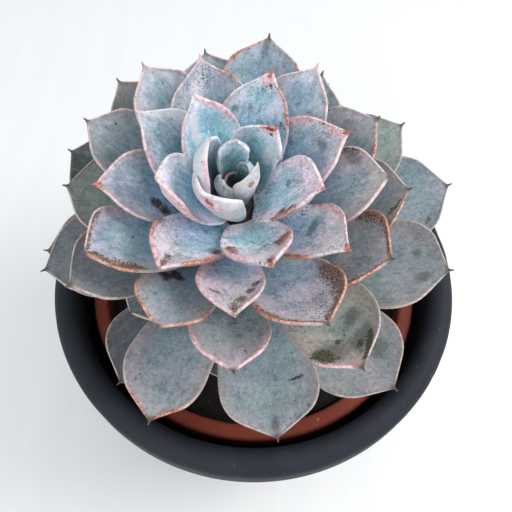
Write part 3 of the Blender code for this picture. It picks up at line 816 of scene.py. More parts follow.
# %% Spots
# (leaf, kind, across, along, half size across and along in mm)
SPOT_MARKS = [
    (5, "bloom", -0.3, 0.7, 6.0, 7.0), (8, "bloom", 0.1, 0.7, 12.0, 10.0),
    (7, "bloom", -0.5, 0.7, 4.0, 8.0), (9, "bloom", 0.35, 0.7, 2.2, 9.0),
    (13, "bloom", 0.0, 0.8, 7.0, 6.0), (17, "bloom", 0.2, 0.8, 3.0, 7.0),
    # The debris spots on leaves 29 and 19 are dark crumbs that also paint shade: under the point of
    # leaf 16 and where leaves 11 and 14 overlap.
    (29, "debris", -0.62, 0.61, 3.6, 3.0), (29, "debris", -0.42, 0.54, 3.4, 3.0),
    (19, "debris", 0.33, 0.54, 2.6, 3.2), (19, "debris", 0.48, 0.47, 2.4, 3.0),
    (16, "bloom", -0.2, 0.8, 4.0, 4.0),
    (0, "cork", 0.0, 0.7, 9.0, 9.0), (1, "cork", 0.0, 0.9, 4.0, 5.0),
    (5, "rust", -0.45, 0.80, 0.9, 1.4), (7, "blush", 0.3, 0.93, 3.6, 3.0),
    (7, "rust", 0.35, 0.93, 2.0, 1.4), (7, "cork", -0.19, 0.87, 0.8, 0.8),
    (8, "blush", 0.2, 0.8, 3.6, 4.0), (8, "rust", 0.2, 0.84, 1.3, 1.2),
    (10, "cork", -0.70, 0.44, 1.3, 2.6), (10, "cork", -0.74, 0.60, 1.3, 2.8),
    (10, "blush", 0.0, 0.95, 2.4, 3.4), (10, "speck", -0.5, 0.85, 1.5, 3.6),
    (10, "speck", 0.22, 0.45, 1.8, 1.8), (10, "grime", 0.22, 0.45, 1.6, 1.6),
    (10, "speck", 0.19, 0.17, 1.8, 1.8), (11, "cork", 0.0, 0.97, 0.9, 0.9),
    (12, "blush", 0.0, 0.94, 3.0, 3.4), (12, "rust", 0.1, 0.96, 1.0, 1.8),
    (12, "cork", -0.33, 0.88, 0.9, 0.9), (12, "cork", -0.71, 0.64, 0.8, 0.8),
    (12, "speck", -0.3, 0.86, 2.4, 2.4), (12, "speck", -0.7, 0.62, 2.0, 2.0),
    (12, "grime", 0.6, 0.68, 1.6, 1.4), (13, "speck", 0.30, 0.58, 3.0, 2.4),
    (13, "rust", 0.66, 0.64, 3.9, 4.8), (13, "cork", 0.46, 0.60, 1.2, 1.8),
    (13, "rust", 0.15, 0.93, 1.9, 4.4), (13, "cork", 0.05, 0.90, 1.0, 2.4),
    (13, "rust", -0.74, 0.54, 2.7, 5.2), (13, "cork", -0.66, 0.46, 1.0, 1.2),
    (15, "blush", 0.3, 0.93, 4.0, 4.0), (15, "rust", 0.1, 0.98, 1.8, 1.8),
    (15, "speck", 0.6, 0.90, 2.6, 4.6), (15, "grime", -0.05, 0.76, 2.6, 2.2),
    (16, "cork", 0.05, 0.83, 1.6, 2.4), (16, "cork", 0.12, 0.93, 1.4, 4.0),
    (16, "speck", 0.25, 0.80, 2.6, 2.6), (16, "cork", 0.76, 0.42, 1.6, 2.8),
    (16, "grime", 0.70, 0.42, 3.0, 3.6), (17, "speck", 0.0, 0.86, 4.0, 3.4),
    (18, "grime", 0.20, 0.56, 4.2, 2.6), (18, "speck", 0.20, 0.56, 4.6, 3.4),
    (18, "cork", -0.84, 0.68, 0.9, 2.6), (18, "rust", 0.1, 0.97, 1.4, 1.6),
    (19, "rust", 0.0, 0.97, 1.6, 2.0), (19, "cork", 0.39, 0.95, 0.8, 0.8),
    (21, "cork", 0.72, 0.68, 1.9, 2.4), (21, "cork", 0.58, 0.76, 1.9, 2.4),
    (21, "cork", 0.32, 0.85, 2.0, 2.6), (21, "cork", 0.14, 0.92, 1.5, 3.4),
    (21, "cork", -0.42, 0.77, 2.6, 1.2), (21, "speck", -0.1, 0.5, 4.0, 3.0),
    (23, "grime", 0.7, 0.8, 4.0, 3.4), (25, "grime", 0.1, 0.93, 1.6, 4.6),
    (26, "speck", 0.1, 0.84, 6.0, 6.0), (36, "cork", -0.5, 0.90, 1.3, 3.6),
    (39, "moss", -0.70, 0.85, 4.4, 4.4), (39, "moss", 0.55, 0.91, 2.2, 4.8),
    (39, "moss", -0.2, 0.80, 1.6, 1.4), (39, "moss", 0.2, 0.88, 2.0, 1.6),
    (39, "grime", 0.3, 0.87, 6.0, 4.6), (39, "grime", 0.34, 0.74, 4.0, 4.0),
    (39, "grime", -0.5, 0.84, 8.0, 5.0),
    (44, "grime", 0.33, 0.83, 2.0, 2.4), (44, "grime", -0.22, 0.88, 2.6, 3.4),
    (47, "moss", 0.58, 0.73, 3.6, 1.1), (47, "grime", 0.0, 0.92, 1.6, 5.0),
    (49, "cork", -0.67, 0.86, 1.4, 1.5), (52, "grime", 0.4, 0.8, 5.0, 5.0)]
print("spots:", len(SPOT_MARKS))

# %% [markdown]
# ## What a whole leaf is like
# Some things hold for a leaf as a whole: how specked it is, how pale or olive its wax is, the
# painted shade and light that set it apart from its neighbours, and how red its point is. A
# leaf that isn't named in a table has that table's default: few specks, a faintly red point
# and nothing else.

# %% Leaves one by one
DEFAULT_SPECKS = 0.05
DEFAULT_RED = 0.2
# Leaf number: how thickly it is strewn with dark specks
SPECKLED = {
    9: 0.12, 10: 0.2, 12: 0.3, 13: 0.36, 15: 0.36, 16: 0.34, 17: 0.26, 18: 0.30, 20: 0.16,
    21: 0.2, 23: 0.2, 24: 0.06, 26: 0.22, 28: 0.1, 29: 0.06, 31: 0.16, 34: 0.24, 39: 0.12}
# Leaf number: how far the pale lavender reaches in from its tip, against other leaves. On leaf
# 11 it is also painted light on the lit half of the leaf.
PALER = {
    5: 0.2, 6: 0.3, 8: 0.4, 10: 0.28, 11: 0.32, 13: 0.3, 14: 0.1, 16: 0.28, 17: 0.1,
    18: 0.12, 19: -0.1, 21: 0.25, 22: 0.2, 24: -0.15, 26: 0.12, 29: -0.15, 47: -0.1}
# Leaf number: how far its grey leans to olive
OLIVE = {
    22: 0.2, 23: 0.3, 27: 0.3, 28: 0.4, 31: 0.3, 33: 0.6, 35: 1.0, 36: 0.3, 39: 0.9, 40: 1.0,
    41: 0.8, 44: 0.3, 45: 0.3, 48: 0.9, 52: 0.4, 53: 0.4}
# Leaf number: painted shade that darkens it against its whorl where less light falls on it;
# negative numbers are painted light that lightens it. Part of this is the leaf's own tone.
PAINTED_LEAF_SHADE = {
    4: -0.1, 7: -0.28, 11: -0.25, 14: 0.18, 15: 0.12, 16: 0.06, 17: 0.24, 18: -0.15, 19: 0.2,
    20: -0.15, 21: -0.08, 22: -0.02, 23: 0.08, 25: -0.16, 27: 0.25, 31: 0.08, 32: 0.24,
    33: -0.5, 34: -0.15, 35: 0.55, 39: -0.1, 40: 0.05, 41: -0.55, 44: 0.02, 45: 0.15,
    47: -0.06, 48: 0.66, 49: -0.18, 50: 0.5, 52: 0.12, 53: 0.1, 55: 0.3}
# Leaf number: how red its point is
RED_POINTS = {
    7: 1.0, 10: 1.0, 12: 0.8, 13: 0.7, 15: 1.0, 16: 0.9, 18: 0.9, 19: 0.7, 21: 0.6, 23: 0.7,
    26: 0.7, 29: 0.5, 31: 0.6, 34: 0.4}
print("leaves with a shade of their own:", len(PAINTED_LEAF_SHADE))

# %% [markdown]
# ## Marks at a point
# Each vertex asks the tables how strong every kind of mark is at its place. A mark fades
# towards its edge, so that noise in the finish can eat into it there and leave it ragged.

# %% Marks at a point
MARGIN_STRENGTH = 1.05
MARGIN_REACH = 1.6          # a margin mark is gone at this many times its depth
DEPTH_FADE = 1.5            # powers: the higher, the later a mark fades
END_FADE = 4
SPOT_STRENGTH = 0.95
SPOT_FADE = 0.8


def mark_strengths(plan, along, across):
    """How strong each kind of mark is at a place of a leaf, from 0 to 1."""
    number = plan["number"]
    half_width = leaf_half_width(plan, along, across)
    from_rim = (1.0 - abs(across)) * half_width / MM
    found = {kind: 0.0 for kind in KINDS}
    for leaf, kind, side, start, end, depth in MARGIN_MARKS:
        if leaf == number and side * across > 0.0 and from_rim < MARGIN_REACH * depth:
            middle = 0.5 * (start + end)
            away = abs(along - middle) / (0.5 * (end - start))
            strength = MARGIN_STRENGTH - (from_rim / depth) ** DEPTH_FADE - away ** END_FADE
            found[kind] = max(found[kind], min(1.0, strength))
    for leaf, kind, spot_across, spot_along, wide, long in SPOT_MARKS:
        if leaf == number:
            sideways = (across - spot_across) * half_width / MM / wide
            lengthways = (along - spot_along) * plan["length"] / MM / long
            strength = SPOT_STRENGTH - SPOT_FADE * (sideways ** 2 + lengthways ** 2)
            found[kind] = max(found[kind], min(1.0, strength))
    return found


found_rust = mark_strengths(leaf_plan(13), 0.64, 0.66)["rust"]
print("rust in the scar of leaf 13:", round(found_rust, 2))

# %% [markdown]
# ## What the finish is told
# One finish serves all the leaves, so each vertex carries the numbers that tell it where on
# which leaf it is. Some are the same over a whole leaf: its age, its painted shade, how much
# painted light its root gets, most at the front, and how warm the painted light on its side is.

# %% Numbers of a whole leaf
DARK_TIPS = (19.0, 24.0)       # leaf numbers over which the red points turn dark
# Painted light at the roots: FRONT_SHARE, INNER_WHORLS, OUTER_WHORLS and OUTER_LOSS set how much
# painted light lifts the shade under the leaves above, most at the front of the rosette.
FRONT_SHARE = 1.3              # widens the front, where the whorls stand open
INNER_WHORLS = (8.0, 12.0)     # leaf numbers over which the shelter begins
OUTER_WHORLS = (22.0, 32.0)    # and over which it turns into the opposite
OUTER_LOSS = 1.5
# Painted light: a warm light is painted on the front and right of the plant, a cool one on the back
# and left.
WARM_MIDDLE = 0.45             # warmth of the grey, 0 to 1, and what front and right add
WARM_FRONT = 0.55
WARM_RIGHT = 0.2


def whole_leaf_numbers(plan, tone):
    """The numbers that are the same all over one leaf."""
    number = plan["number"]
    azimuth = plan["azimuth"]
    # How much painted light the root gets: most on the front and middle whorls, less on the outer
    # ones.
    front = min(1.0, max(0.0, -FRONT_SHARE * math.sin(azimuth)))
    whorl = blend(number, *INNER_WHORLS) * (1.0 - OUTER_LOSS * blend(number, *OUTER_WHORLS))
    # Warmth of the painted light on this leaf's side of the plant.
    warmth = WARM_MIDDLE - WARM_FRONT * math.sin(azimuth) + WARM_RIGHT * math.cos(azimuth)
    return {
        "age": plan["age"], "tone": tone, "dark_tip": blend(number, *DARK_TIPS),
        "red_tip": RED_POINTS.get(number, DEFAULT_RED),
        "strewn": SPECKLED.get(number, DEFAULT_SPECKS), "paler": PALER.get(number, 0.0),
        "olive": OLIVE.get(number, 0.0), "dull": PAINTED_LEAF_SHADE.get(number, 0.0),
        "sheltered": front * whorl, "warmth": min(1.0, max(0.0, warmth))}


print("leaf 13 is told:", sorted(whole_leaf_numbers(leaf_plan(13), 0.0)))

# %% [markdown]
# ## Building a leaf
# A grid is laid out flat and extruded once, for the lower face. Then every vertex is moved
# by the leaf's formula and given its numbers. Rows crowd towards the point and columns
# towards the margins, because that is where a leaf has its finest shapes.

# %% Build one leaf
LEAF_ROWS = 52
LEAF_COLUMNS = 28
ROW_CROWDING = 1.8             # how much the rows crowd towards the tip
SMALL_HALF_WIDTH = 12.0 * MM   # narrower leaves have a narrower rim
SMALL_RIM_POWER = 1.5
FLOW_STEP = 0.11               # metres between the streaks of one leaf and of the next
LAYERS = ["along", "rim", "age", "under", "tone", "dark_tip", "red_tip", "strewn", "paler",
          "olive", "dull", "sheltered", "warmth"]
LAYERS += KINDS


def leaf_layers(bm):
    """The numbers that every vertex of a leaf carries for its finish."""
    layers = {name: bm.verts.layers.float.new(name) for name in LAYERS}
    layers["across"] = bm.verts.layers.float.new("across")
    layers["flow"] = bm.verts.layers.float_vector.new("flow")
    return layers


def add_leaf(bm, layers, number):
    """Adds one leaf: a grid over its outline, extruded once, then moved into place."""
    plan = leaf_plan(number)
    rng = random.Random(number)
    whole = whole_leaf_numbers(plan, rng.uniform(-1.0, 1.0))
    grid = bmesh.ops.create_grid(bm, x_segments=LEAF_ROWS, y_segments=LEAF_COLUMNS, size=1.0)
    upper = grid["verts"]
    for vert in upper:
        vert[layers["along"]] = 1.0 - (0.5 - 0.5 * vert.co.x) ** ROW_CROWDING
        vert[layers["across"]] = math.sin(0.5 * math.pi * vert.co.y)
    faces = list({face for vert in upper for face in vert.link_faces})
    extruded = bmesh.ops.extrude_face_region(bm, geom=faces)
    lower = [item for item in extruded["geom"] if isinstance(item, bmesh.types.BMVert)]
    for vert in lower:
        vert[layers["under"]] = 1.0
    for vert in upper + lower:
        shape_leaf_vert(vert, layers, plan, whole)
    return upper + lower


def shape_leaf_vert(vert, layers, plan, whole):
    """Moves one vertex onto the leaf and writes its numbers."""
    along = vert[layers["along"]]
    across = vert[layers["across"]]
    half_width = leaf_half_width(plan, along, across)
    vert.co = leaf_point(plan, along, across, vert[layers["under"]] > 0.5)
    to_side = (1.0 - abs(across)) * half_width
    small = max(1.0, SMALL_HALF_WIDTH / plan["half_width"]) ** SMALL_RIM_POWER
    vert[layers["rim"]] = to_side / MM * small
    flow = (across * half_width, along * plan["length"], FLOW_STEP * plan["number"])
    vert[layers["flow"]] = Vector(flow)
    for name, value in whole.items():
        vert[layers[name]] = value
    for kind, strength in mark_strengths(plan, along, across).items():
        vert[layers[kind]] = max(0.0, strength)


print("quads on a leaf:", 2 * LEAF_ROWS * LEAF_COLUMNS)

# %% [markdown]
# ## The finish of a leaf
# The leaf itself is blue-green, but a powdery wax lies over it and makes it look turquoise
# in the young leaves and grey in the old ones. The wax is thinner near the margin, which
# blushes lavender and pink, and it is rubbed off in flecks. So the finish is built in layers:
# wax colour by age, blush by the distance from the margin, then scars, specks and soil.
# Each later layer is a function that takes the colour so far and gives it back changed.

# %% Wax and rim
WAX_BLOTCH = 9.0 * MM
WAX_STREAK = 1.6 * MM
HUE_BLOTCH = 13.0 * MM
RIM_BEAD = 3.0 * MM


def leaf_wax(finish, place, flow, along, rim, age, under):
    """Colour of the clean leaf: centre, outer part and lower face, with painted light and shade."""
    patches = finish.cloud(place, WAX_BLOTCH, 4.0)
    streaks = finish.cloud(finish.scaled(flow, (1.0, 0.16, 1.0)), WAX_STREAK, 3.0)
    # The first stop of each ramp here, at age 0.03, is painted shade: the innermost heart leaves are
    # darkened because they lie deep among the others.
    centre = finish.ramp(
        age, (0.03, (0.10, 0.22, 0.25)), (0.09, (0.22, 0.42, 0.48)), (0.20, (0.25, 0.42, 0.52)),
        (0.38, (0.21, 0.32, 0.41)), (0.62, (0.195, 0.28, 0.32)), (1.0, (0.23, 0.33, 0.39)))
    outer = finish.ramp(
        age, (0.03, (0.20, 0.30, 0.34)), (0.09, (0.50, 0.56, 0.62)), (0.20, (0.61, 0.585, 0.665)),
        (0.38, (0.38, 0.385, 0.445)), (0.62, (0.275, 0.29, 0.32)), (1.0, (0.25, 0.295, 0.34)))
    far = finish.step(along, 0.36, 0.90)
    near_rim = finish.step(rim, 8.5, 0.5)
    spread = far * 0.8 + near_rim * 0.7 + (patches - 0.5) * 1.4 + (streaks - 0.5) * 0.5 - 0.24
    spread = spread + finish.attribute("paler")
    wax = finish.mix(finish.step(spread, 0.0, 0.9), centre, outer)
    below = finish.ramp(
        age, (0.03, (0.18, 0.30, 0.34)), (0.09, (0.48, 0.50, 0.56)), (0.25, (0.56, 0.52, 0.58)),
        (0.5, (0.32, 0.37, 0.40)), (1.0, (0.28, 0.34, 0.37)))
    below = finish.mix(finish.step(patches, 0.4, 0.6) * 0.5, below, centre)
    wax = finish.mix(under * finish.step(rim, 0.4, 1.2), wax, below)
    greyed = finish.scaled(wax, (1.10, 0.98, 0.82))
    wax = finish.mix(finish.attribute("olive"), wax, greyed)
    sheltered = finish.attribute("sheltered")
    # Painted light: cool and warm copies of the wax, mixed by the painted warmth of each side.
    cool = finish.scaled(wax, (0.88, 1.0, 1.02))
    warm = finish.scaled(wax, (1.16, 1.03, 0.98))
    wax = finish.mix(finish.attribute("warmth"), cool, warm)
    hue = finish.step(finish.cloud(place, HUE_BLOTCH, 3.0), 0.38, 0.62)
    greener = finish.scaled(wax, (0.96, 1.02, 0.97))
    wax = finish.mix(hue, greener, finish.scaled(wax, (1.04, 0.985, 1.02)))
    # Wax brightness: streaks and patches of the wax, times the painted leaf shade of each leaf.
    light = (0.50 + 0.44 * streaks + 0.7 * patches) * (1.0 - finish.attribute("dull"))
    # Painted light: the inner part of each leaf from about leaf 9 on is lightened to lift the shade
    # that the leaves above cast, most at the front; grown leaves are also lightened in the middle.
    grown = finish.step(age, 0.30, 0.40)
    painted_root_light = (0.55 + 0.55 * sheltered) * finish.step(along, 0.82, 0.28) * finish.step(age, 0.14, 0.2)
    painted_root_light = painted_root_light * (0.72 + 0.28 * grown - 0.5 * finish.step(age, 0.6, 0.8))
    painted_root_light = painted_root_light + 0.28 * grown * finish.step(along, 0.36, 0.60) * finish.step(along, 0.88, 0.70)
    # Painted shade: the leaves of the heart darken towards their roots, where the heart lies in
    # shadow.
    painted_heart_shade = finish.step(age, 0.17, 0.13) * finish.step(along, 0.75, 0.25)
    return finish.shade(wax, light * (1.0 + painted_root_light) * (1.0 - 0.6 * painted_heart_shade))


def leaf_rim(finish, wax, place, along, rim, age, tone):
    """The thin pale rim and the band of pink just inside it."""
    beads = finish.cloud(place, RIM_BEAD, 5.0, 0.7)
    # The first stop of both ramps, at age 0.04, is painted shade on the innermost heart leaves.
    rim_colour = finish.ramp(
        age, (0.04, (0.40, 0.44, 0.46)), (0.12, (0.80, 0.70, 0.73)), (0.3, (0.76, 0.58, 0.57)),
        (0.6, (0.60, 0.46, 0.41)), (1.0, (0.49, 0.40, 0.37)))
    pink = finish.ramp(
        age, (0.04, (0.30, 0.34, 0.37)), (0.12, (0.66, 0.48, 0.54)), (0.3, (0.55, 0.33, 0.36)),
        (0.6, (0.41, 0.28, 0.25)), (1.0, (0.34, 0.28, 0.27)))
    reach = finish.step(along, 0.25, 0.6)
    band = finish.step(rim, 3.0, 0.4) * finish.step(beads + tone * 0.06, 0.42, 0.62) * reach
    edge = finish.step(rim, 0.9, 0.4) * reach * (0.5 + 0.5 * finish.step(beads, 0.40, 0.55))
    return finish.mix(edge * 0.85, finish.mix(band * 0.7, wax, pink), rim_colour)


print("blotches of wax:", round(WAX_BLOTCH / MM, 1), "and", round(HUE_BLOTCH / MM, 1), "mm")

# %% [markdown]
# ## Scars, specks and soil
# A mark on the mesh is soft. Noise of the mark's own grain is added to it and the sum is cut
# off half way: coarse noise gives a blotch, fine noise gives crumbs. Rust and cork are mottled
# and a little paler near the leaf's rim, so their colour comes from a ramp over noise.

# %% Scars, specks and soil
RAGGED_PITCH = 1200.0       # waves in a metre of the noise that makes the specks ragged
RAGGED_REACH = 0.6 * MM
SMALL_SPECK_CELL = 0.62 * MM   # a cell of this size holds one speck at most
LARGE_SPECK_CELL = 1.6 * MM
SPECK_CLUSTER = 5.0 * MM


def leaf_mask(finish, name, place, size, contrast, softness):
    """A mark's field, broken up by noise and cut to a mask."""
    strength = finish.attribute(name)
    grain = finish.cloud(place, size, 5.0, 0.7)
    return finish.step(strength + (grain - 0.5) * contrast, 0.5 - softness, 0.5 + softness)


def leaf_specks(finish, place):
    """Dark specks: sparse ones in clusters all over, thick ones where a mark says so."""
    clusters = finish.step(finish.cloud(place, SPECK_CLUSTER, 4.0, 0.65), 0.49, 0.64)
    density = finish.attribute("strewn") * clusters * 1.7 + finish.attribute("speck") * 1.3
    wobble = {"Vector": place, "Scale": RAGGED_PITCH}
    wobble = finish.shade(finish.node("ShaderNodeTexNoise", {}, wobble, "Color"), RAGGED_REACH)
    ragged = finish.node("ShaderNodeVectorMath", {"operation": "ADD"}, {0: place, 1: wobble})
    small = finish.dots(ragged, SMALL_SPECK_CELL, density * 1.2, 0.36)
    large = finish.dots(ragged, LARGE_SPECK_CELL, density * 0.5, 0.26)
    return small.larger(large)


def leaf_marks(finish, colour, place, rim, grain, crumb):
    """Bloom, blush, scars, cork and soil, with painted light in the bloom of leaf 11 and painted
    shade in the debris. Also gives where the leaf is crusty or rusty.
    """
    # Bloom: pale thick wax, on leaf 11 also painted light.
    bloom = leaf_mask(finish, "bloom", place, 2.6 * MM, 1.2, 0.4)
    colour = finish.mix(bloom * (0.25 + 0.9 * crumb), colour, (0.68, 0.66, 0.70))
    blush = leaf_mask(finish, "blush", place, 2.0 * MM, 1.6, 0.25)
    colour = finish.mix(blush * 0.8, colour, finish.ramp(
        crumb, (0.35, (0.50, 0.20, 0.24)), (0.5, (0.74, 0.46, 0.50)), (0.65, (0.86, 0.68, 0.70))))
    gold = leaf_mask(finish, "gold", place, 1.2 * MM, 1.2, 0.15)
    colour = finish.mix(gold * 0.5, colour, (0.62, 0.50, 0.24))
    smudge = leaf_mask(finish, "grime", place, 3.0 * MM, 1.4, 0.45)
    grime = leaf_mask(finish, "grime", place, 0.7 * MM, 3.2, 0.15)
    colour = finish.mix(smudge * 0.28 + grime * 0.34, colour, (0.045, 0.052, 0.055))
    halo = leaf_mask(finish, "rust", place, 2.0 * MM, 1.6, 0.35)
    colour = finish.mix(halo * 0.45, colour, (0.62, 0.36, 0.32))
    rust = leaf_mask(finish, "rust", place, 0.8 * MM, 1.9, 0.14)
    mottle = crumb * 0.5 + grain * 0.5 + finish.step(rim, 2.2, 0.3) * 0.09 - 0.03
    broken = 0.6 + 0.38 * finish.step(finish.cloud(place, 3.2 * MM, 3.0), 0.42, 0.56)
    colour = finish.mix(rust * broken, colour, finish.ramp(
        mottle, (0.37, (0.06, 0.016, 0.014)), (0.46, (0.25, 0.065, 0.04)), (0.56, (0.48, 0.18, 0.11)),
        (0.68, (0.78, 0.50, 0.41))))
    cork = leaf_mask(finish, "cork", place, 0.55 * MM, 2.8, 0.12) * finish.step(rim, 0.3, 1.1)
    worn = grain + finish.step(rim, 4.0, 0.6) * 0.07 - 0.02
    colour = finish.mix(cork * 0.92, colour, finish.ramp(
        worn, (0.36, (0.028, 0.015, 0.012)), (0.5, (0.12, 0.06, 0.042)),
        (0.66, (0.40, 0.27, 0.20))))
    moss = leaf_mask(finish, "moss", place, 0.9 * MM, 2.2, 0.12)
    colour = finish.mix(moss * 0.92, colour, finish.ramp(
        grain, (0.32, (0.010, 0.013, 0.006)), (0.5, (0.05, 0.05, 0.02)), (0.7, (0.16, 0.14, 0.08))))
    # Debris: dark red-brown crumbs that also stand for painted shade in gaps between leaves.
    debris = leaf_mask(finish, "debris", place, 1.8 * MM, 1.8, 0.3)
    colour = finish.mix(debris * 0.92, colour, finish.ramp(
        grain, (0.36, (0.008, 0.004, 0.004)), (0.5, (0.045, 0.018, 0.014)),
        (0.68, (0.20, 0.08, 0.06))))
    return colour, cork.larger(moss).larger(debris), rust


print("kinds of marks:", KINDS)

# %% [markdown]
# ## The layers together
# Wax and rim come first. Over them lie streaks that run along the leaf, scratches down to the
# bare green skin and thin frost. Marks, specks and the coloured point come last. Where the
# leaf is corky it is rougher, and a little relief catches the light.

# %% Leaf finish
LEAF_GRAIN = 0.5 * MM
LEAF_CRUMB = 1.4 * MM
BRUSH_STREAK = 0.8 * MM
SCRATCH_STREAK = 0.9 * MM
WORN_BLOTCH = 5.0 * MM
FROST_STREAK = 2.0 * MM
LEAF_RELIEF = 0.14 * MM


def make_leaf_finish():
    """Powdery blue-grey leaf with pink margins, cork, scars, specks and soil."""
    finish = Finish("powdery_leaf", roughness=0.55, Specular_IOR_Level=0.35)
    place = finish.place()
    flow = finish.attribute("flow", "Vector")
    along = finish.attribute("along")
    rim = finish.attribute("rim")
    age = finish.attribute("age")
    tone = finish.attribute("tone")
    grain = finish.cloud(place, LEAF_GRAIN, 3.0, 0.6)
    crumb = finish.cloud(place, LEAF_CRUMB, 4.0, 0.65)
    wax = leaf_wax(finish, place, flow, along, rim, age, finish.attribute("under"))
    colour = leaf_rim(finish, wax, place, along, rim, age, tone)
    brushed = finish.cloud(finish.scaled(flow, (1.0, 0.22, 1.0)), BRUSH_STREAK, 5.0, 0.7)
    brushed = (brushed - 0.5) * (1.0 - 0.7 * finish.step(age, 0.25, 0.55))
    colour = finish.shade(colour, 1.0 + (grain - 0.5) * 1.1 + (crumb - 0.5) * 1.1
                          + brushed * 0.9 + tone * 0.05)
    scratches = finish.scaled(flow, (1.0, 0.35, 1.0))
    scratches = finish.cloud(scratches, SCRATCH_STREAK, 5.0, 0.75)
    worn = finish.step(scratches * finish.cloud(place, WORN_BLOTCH, 4.0), 0.27, 0.36)
    colour = finish.mix(worn * 0.5, colour, (0.12, 0.19, 0.23))
    frost = finish.cloud(finish.scaled(flow, (1.0, 0.3, 1.0)), FROST_STREAK, 6.0, 0.75)
    frost = finish.step(frost, 0.52, 0.68)
    frost = frost * finish.step(along, 0.3, 0.7) * (0.5 - 0.3 * finish.step(age, 0.3, 0.6))
    colour = finish.mix(frost, colour, (0.74, 0.75, 0.79))
    colour, crusty, rust = leaf_marks(finish, colour, place, rim, grain, crumb)
    specks = leaf_specks(finish, place)
    colour = finish.mix(specks * 0.95, colour, (0.018, 0.020, 0.026))
    tip = finish.step(along, 0.955, 0.98)
    tip_colour = finish.mix(finish.attribute("dark_tip"), (0.52, 0.14, 0.12), (0.07, 0.052, 0.045))
    shown = finish.attribute("dark_tip").larger(finish.attribute("red_tip"))
    colour = finish.mix(tip * shown * 0.9, colour, tip_colour)
    finish.colour(colour)
    finish.rough(0.52 + 0.10 * crumb + 0.25 * crusty + 0.1 * rust)
    relief = crumb * 0.5 + grain * 0.35 - crusty * 0.5 + crusty * grain * 0.9 - specks * 0.3
    finish.relief(relief, LEAF_RELIEF)
    return finish


leaf_finish = make_leaf_finish()
print("nodes in the leaf finish:", len(leaf_finish.tree.nodes))

# %% [markdown]
# ## All the leaves
# Every outer leaf is a piece of its own and stands for the plain leaf with the same number.
# The smallest leaves have grown together round the tip of the stem, so they are one piece.

# %% All the leaves
LEAF_SMOOTH = 80.0          # degrees: only a rim sharper than this stays an edge


def make_leaf(number):
    """One outer leaf as a piece of its own."""
    bm = bmesh.new()
    layers = leaf_layers(bm)
    add_leaf(bm, layers, number)
    bmesh.ops.recalc_face_normals(bm, faces=bm.faces)
    node = "leaf_%02d" % number
    return finish_piece("fine_" + node, bm, leaf_finish, [node], LEAF_SMOOTH)


def make_heart():
    """The youngest leaves round the growing tip, in one piece."""
    bm = bmesh.new()
    layers = leaf_layers(bm)
    for number in range(HEART_LEAVES):
        add_leaf(bm, layers, number)
    bmesh.ops.recalc_face_normals(bm, faces=bm.faces)
    return finish_piece("fine_heart", bm, leaf_finish, ["heart"], LEAF_SMOOTH)


leaves = [make_leaf(number) for number in range(HEART_LEAVES, LEAF_COUNT)]
leaves.append(make_heart())
print("leaf triangles:", sum(triangles(leaf) for leaf in leaves))

# %% [markdown]
# ## The stem
# Where old leaves have dropped, a short woody stem shows, with a scar at each fallen leaf.
# It is a spun tube whose rings swell and shrink, roughened with noise and stood along the
# rosette's leaning axis. Little of it is seen, but from behind it is what carries the plant.

# %% Stem
STEM_RINGS = 44
STEM_STEPS = 40
STEM_SWELL = 0.35 * MM
BARK_PITCH = 260.0          # lumps in a metre
BARK_LUMP = 0.5 * MM
BARK_SINK = 0.3 * MM        # keeps most lumps inside the plain stem
BARK_CORE = 1.0 * MM        # the ends stay flat this close to the axis


def make_stem_finish():
    """Dry dark brown bark with lighter flecks."""
    finish = Finish("dry_bark", roughness=0.85)
    place = finish.place()
    coarse = finish.cloud(place, 3.0 * MM, 5.0, 0.6)
    fine = finish.cloud(place, 0.7 * MM, 4.0, 0.6)
    finish.colour(finish.ramp(
        coarse * 0.6 + fine * 0.4, (0.3, (0.016, 0.011, 0.009)), (0.5, (0.06, 0.04, 0.032)),
        (0.7, (0.16, 0.12, 0.095))))
    finish.relief(coarse + fine * 0.5, 0.5 * MM)
    return finish


def make_stem():
    """The bare stem with its rings of leaf scars."""
    profile = [(0.0, STEM_FOOT)]
    for ring in range(STEM_RINGS + 1):
        height = STEM_FOOT + (STEM_TOP - STEM_FOOT) * ring / STEM_RINGS
        swell = STEM_SWELL * math.cos(math.pi * ring)
        profile.append((stem_radius(height) - STEM_SWELL + swell, height))
    profile.append((0.0, STEM_TOP))
    bm = spin_profile(profile, STEM_STEPS)
    for vert in bm.verts:
        rough = noise.noise(vert.co * BARK_PITCH) * BARK_LUMP
        outward = Vector((vert.co.x, vert.co.y, 0.0))
        if outward.length > BARK_CORE:
            vert.co += outward.normalized() * (rough - BARK_SINK)
    turn = Matrix((SIDE, BACK, UP_STEM)).transposed().to_4x4()
    bmesh.ops.transform(bm, matrix=Matrix.Translation(AXIS_FOOT) @ turn, verts=bm.verts)
    return finish_piece("fine_stem", bm, make_stem_finish(), ["stem"])


print("stem triangles:", triangles(make_stem()))

# %% [markdown]
# ## The planter
# The planter is a plain moulded pot with a thick rounded lip. A profile spun about the
# upright axis gives it, with many more steps than the plain one, so the lip looks truly
# round. Its matte skin is nearly black with a cool tinge and worn at the edge; on top it is
# lighter and bluer, partly from dust and partly from a painted sheen.

# %% Planter
LIP_RADIUS = plain_high.x
LIP_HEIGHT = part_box("outer_pot")[1].z
LIP_ROUND = 4.8 * MM
LIP_SKIRT = 13.0 * MM
SKIRT_STEP = 2.4 * MM
SKIRT_ROUND = 0.8 * MM
SKIRT_EDGE = 0.6 * MM       # the step under the lip starts this far down, its round this far up
PLANTER_BASE_RADIUS = 52.0 * MM
PLANTER_WALL = 4.0 * MM
PLANTER_FLOOR = 5.0 * MM
FOOT_ROUND = 2.0 * MM
POT_STEPS = 176
OUTER_RINGS = (0.05, 0.25, 0.5, 0.75, 0.97)     # heights of the wall's rings, 0 to 1
INNER_RINGS = (0.75, 0.5, 0.25, 0.0)


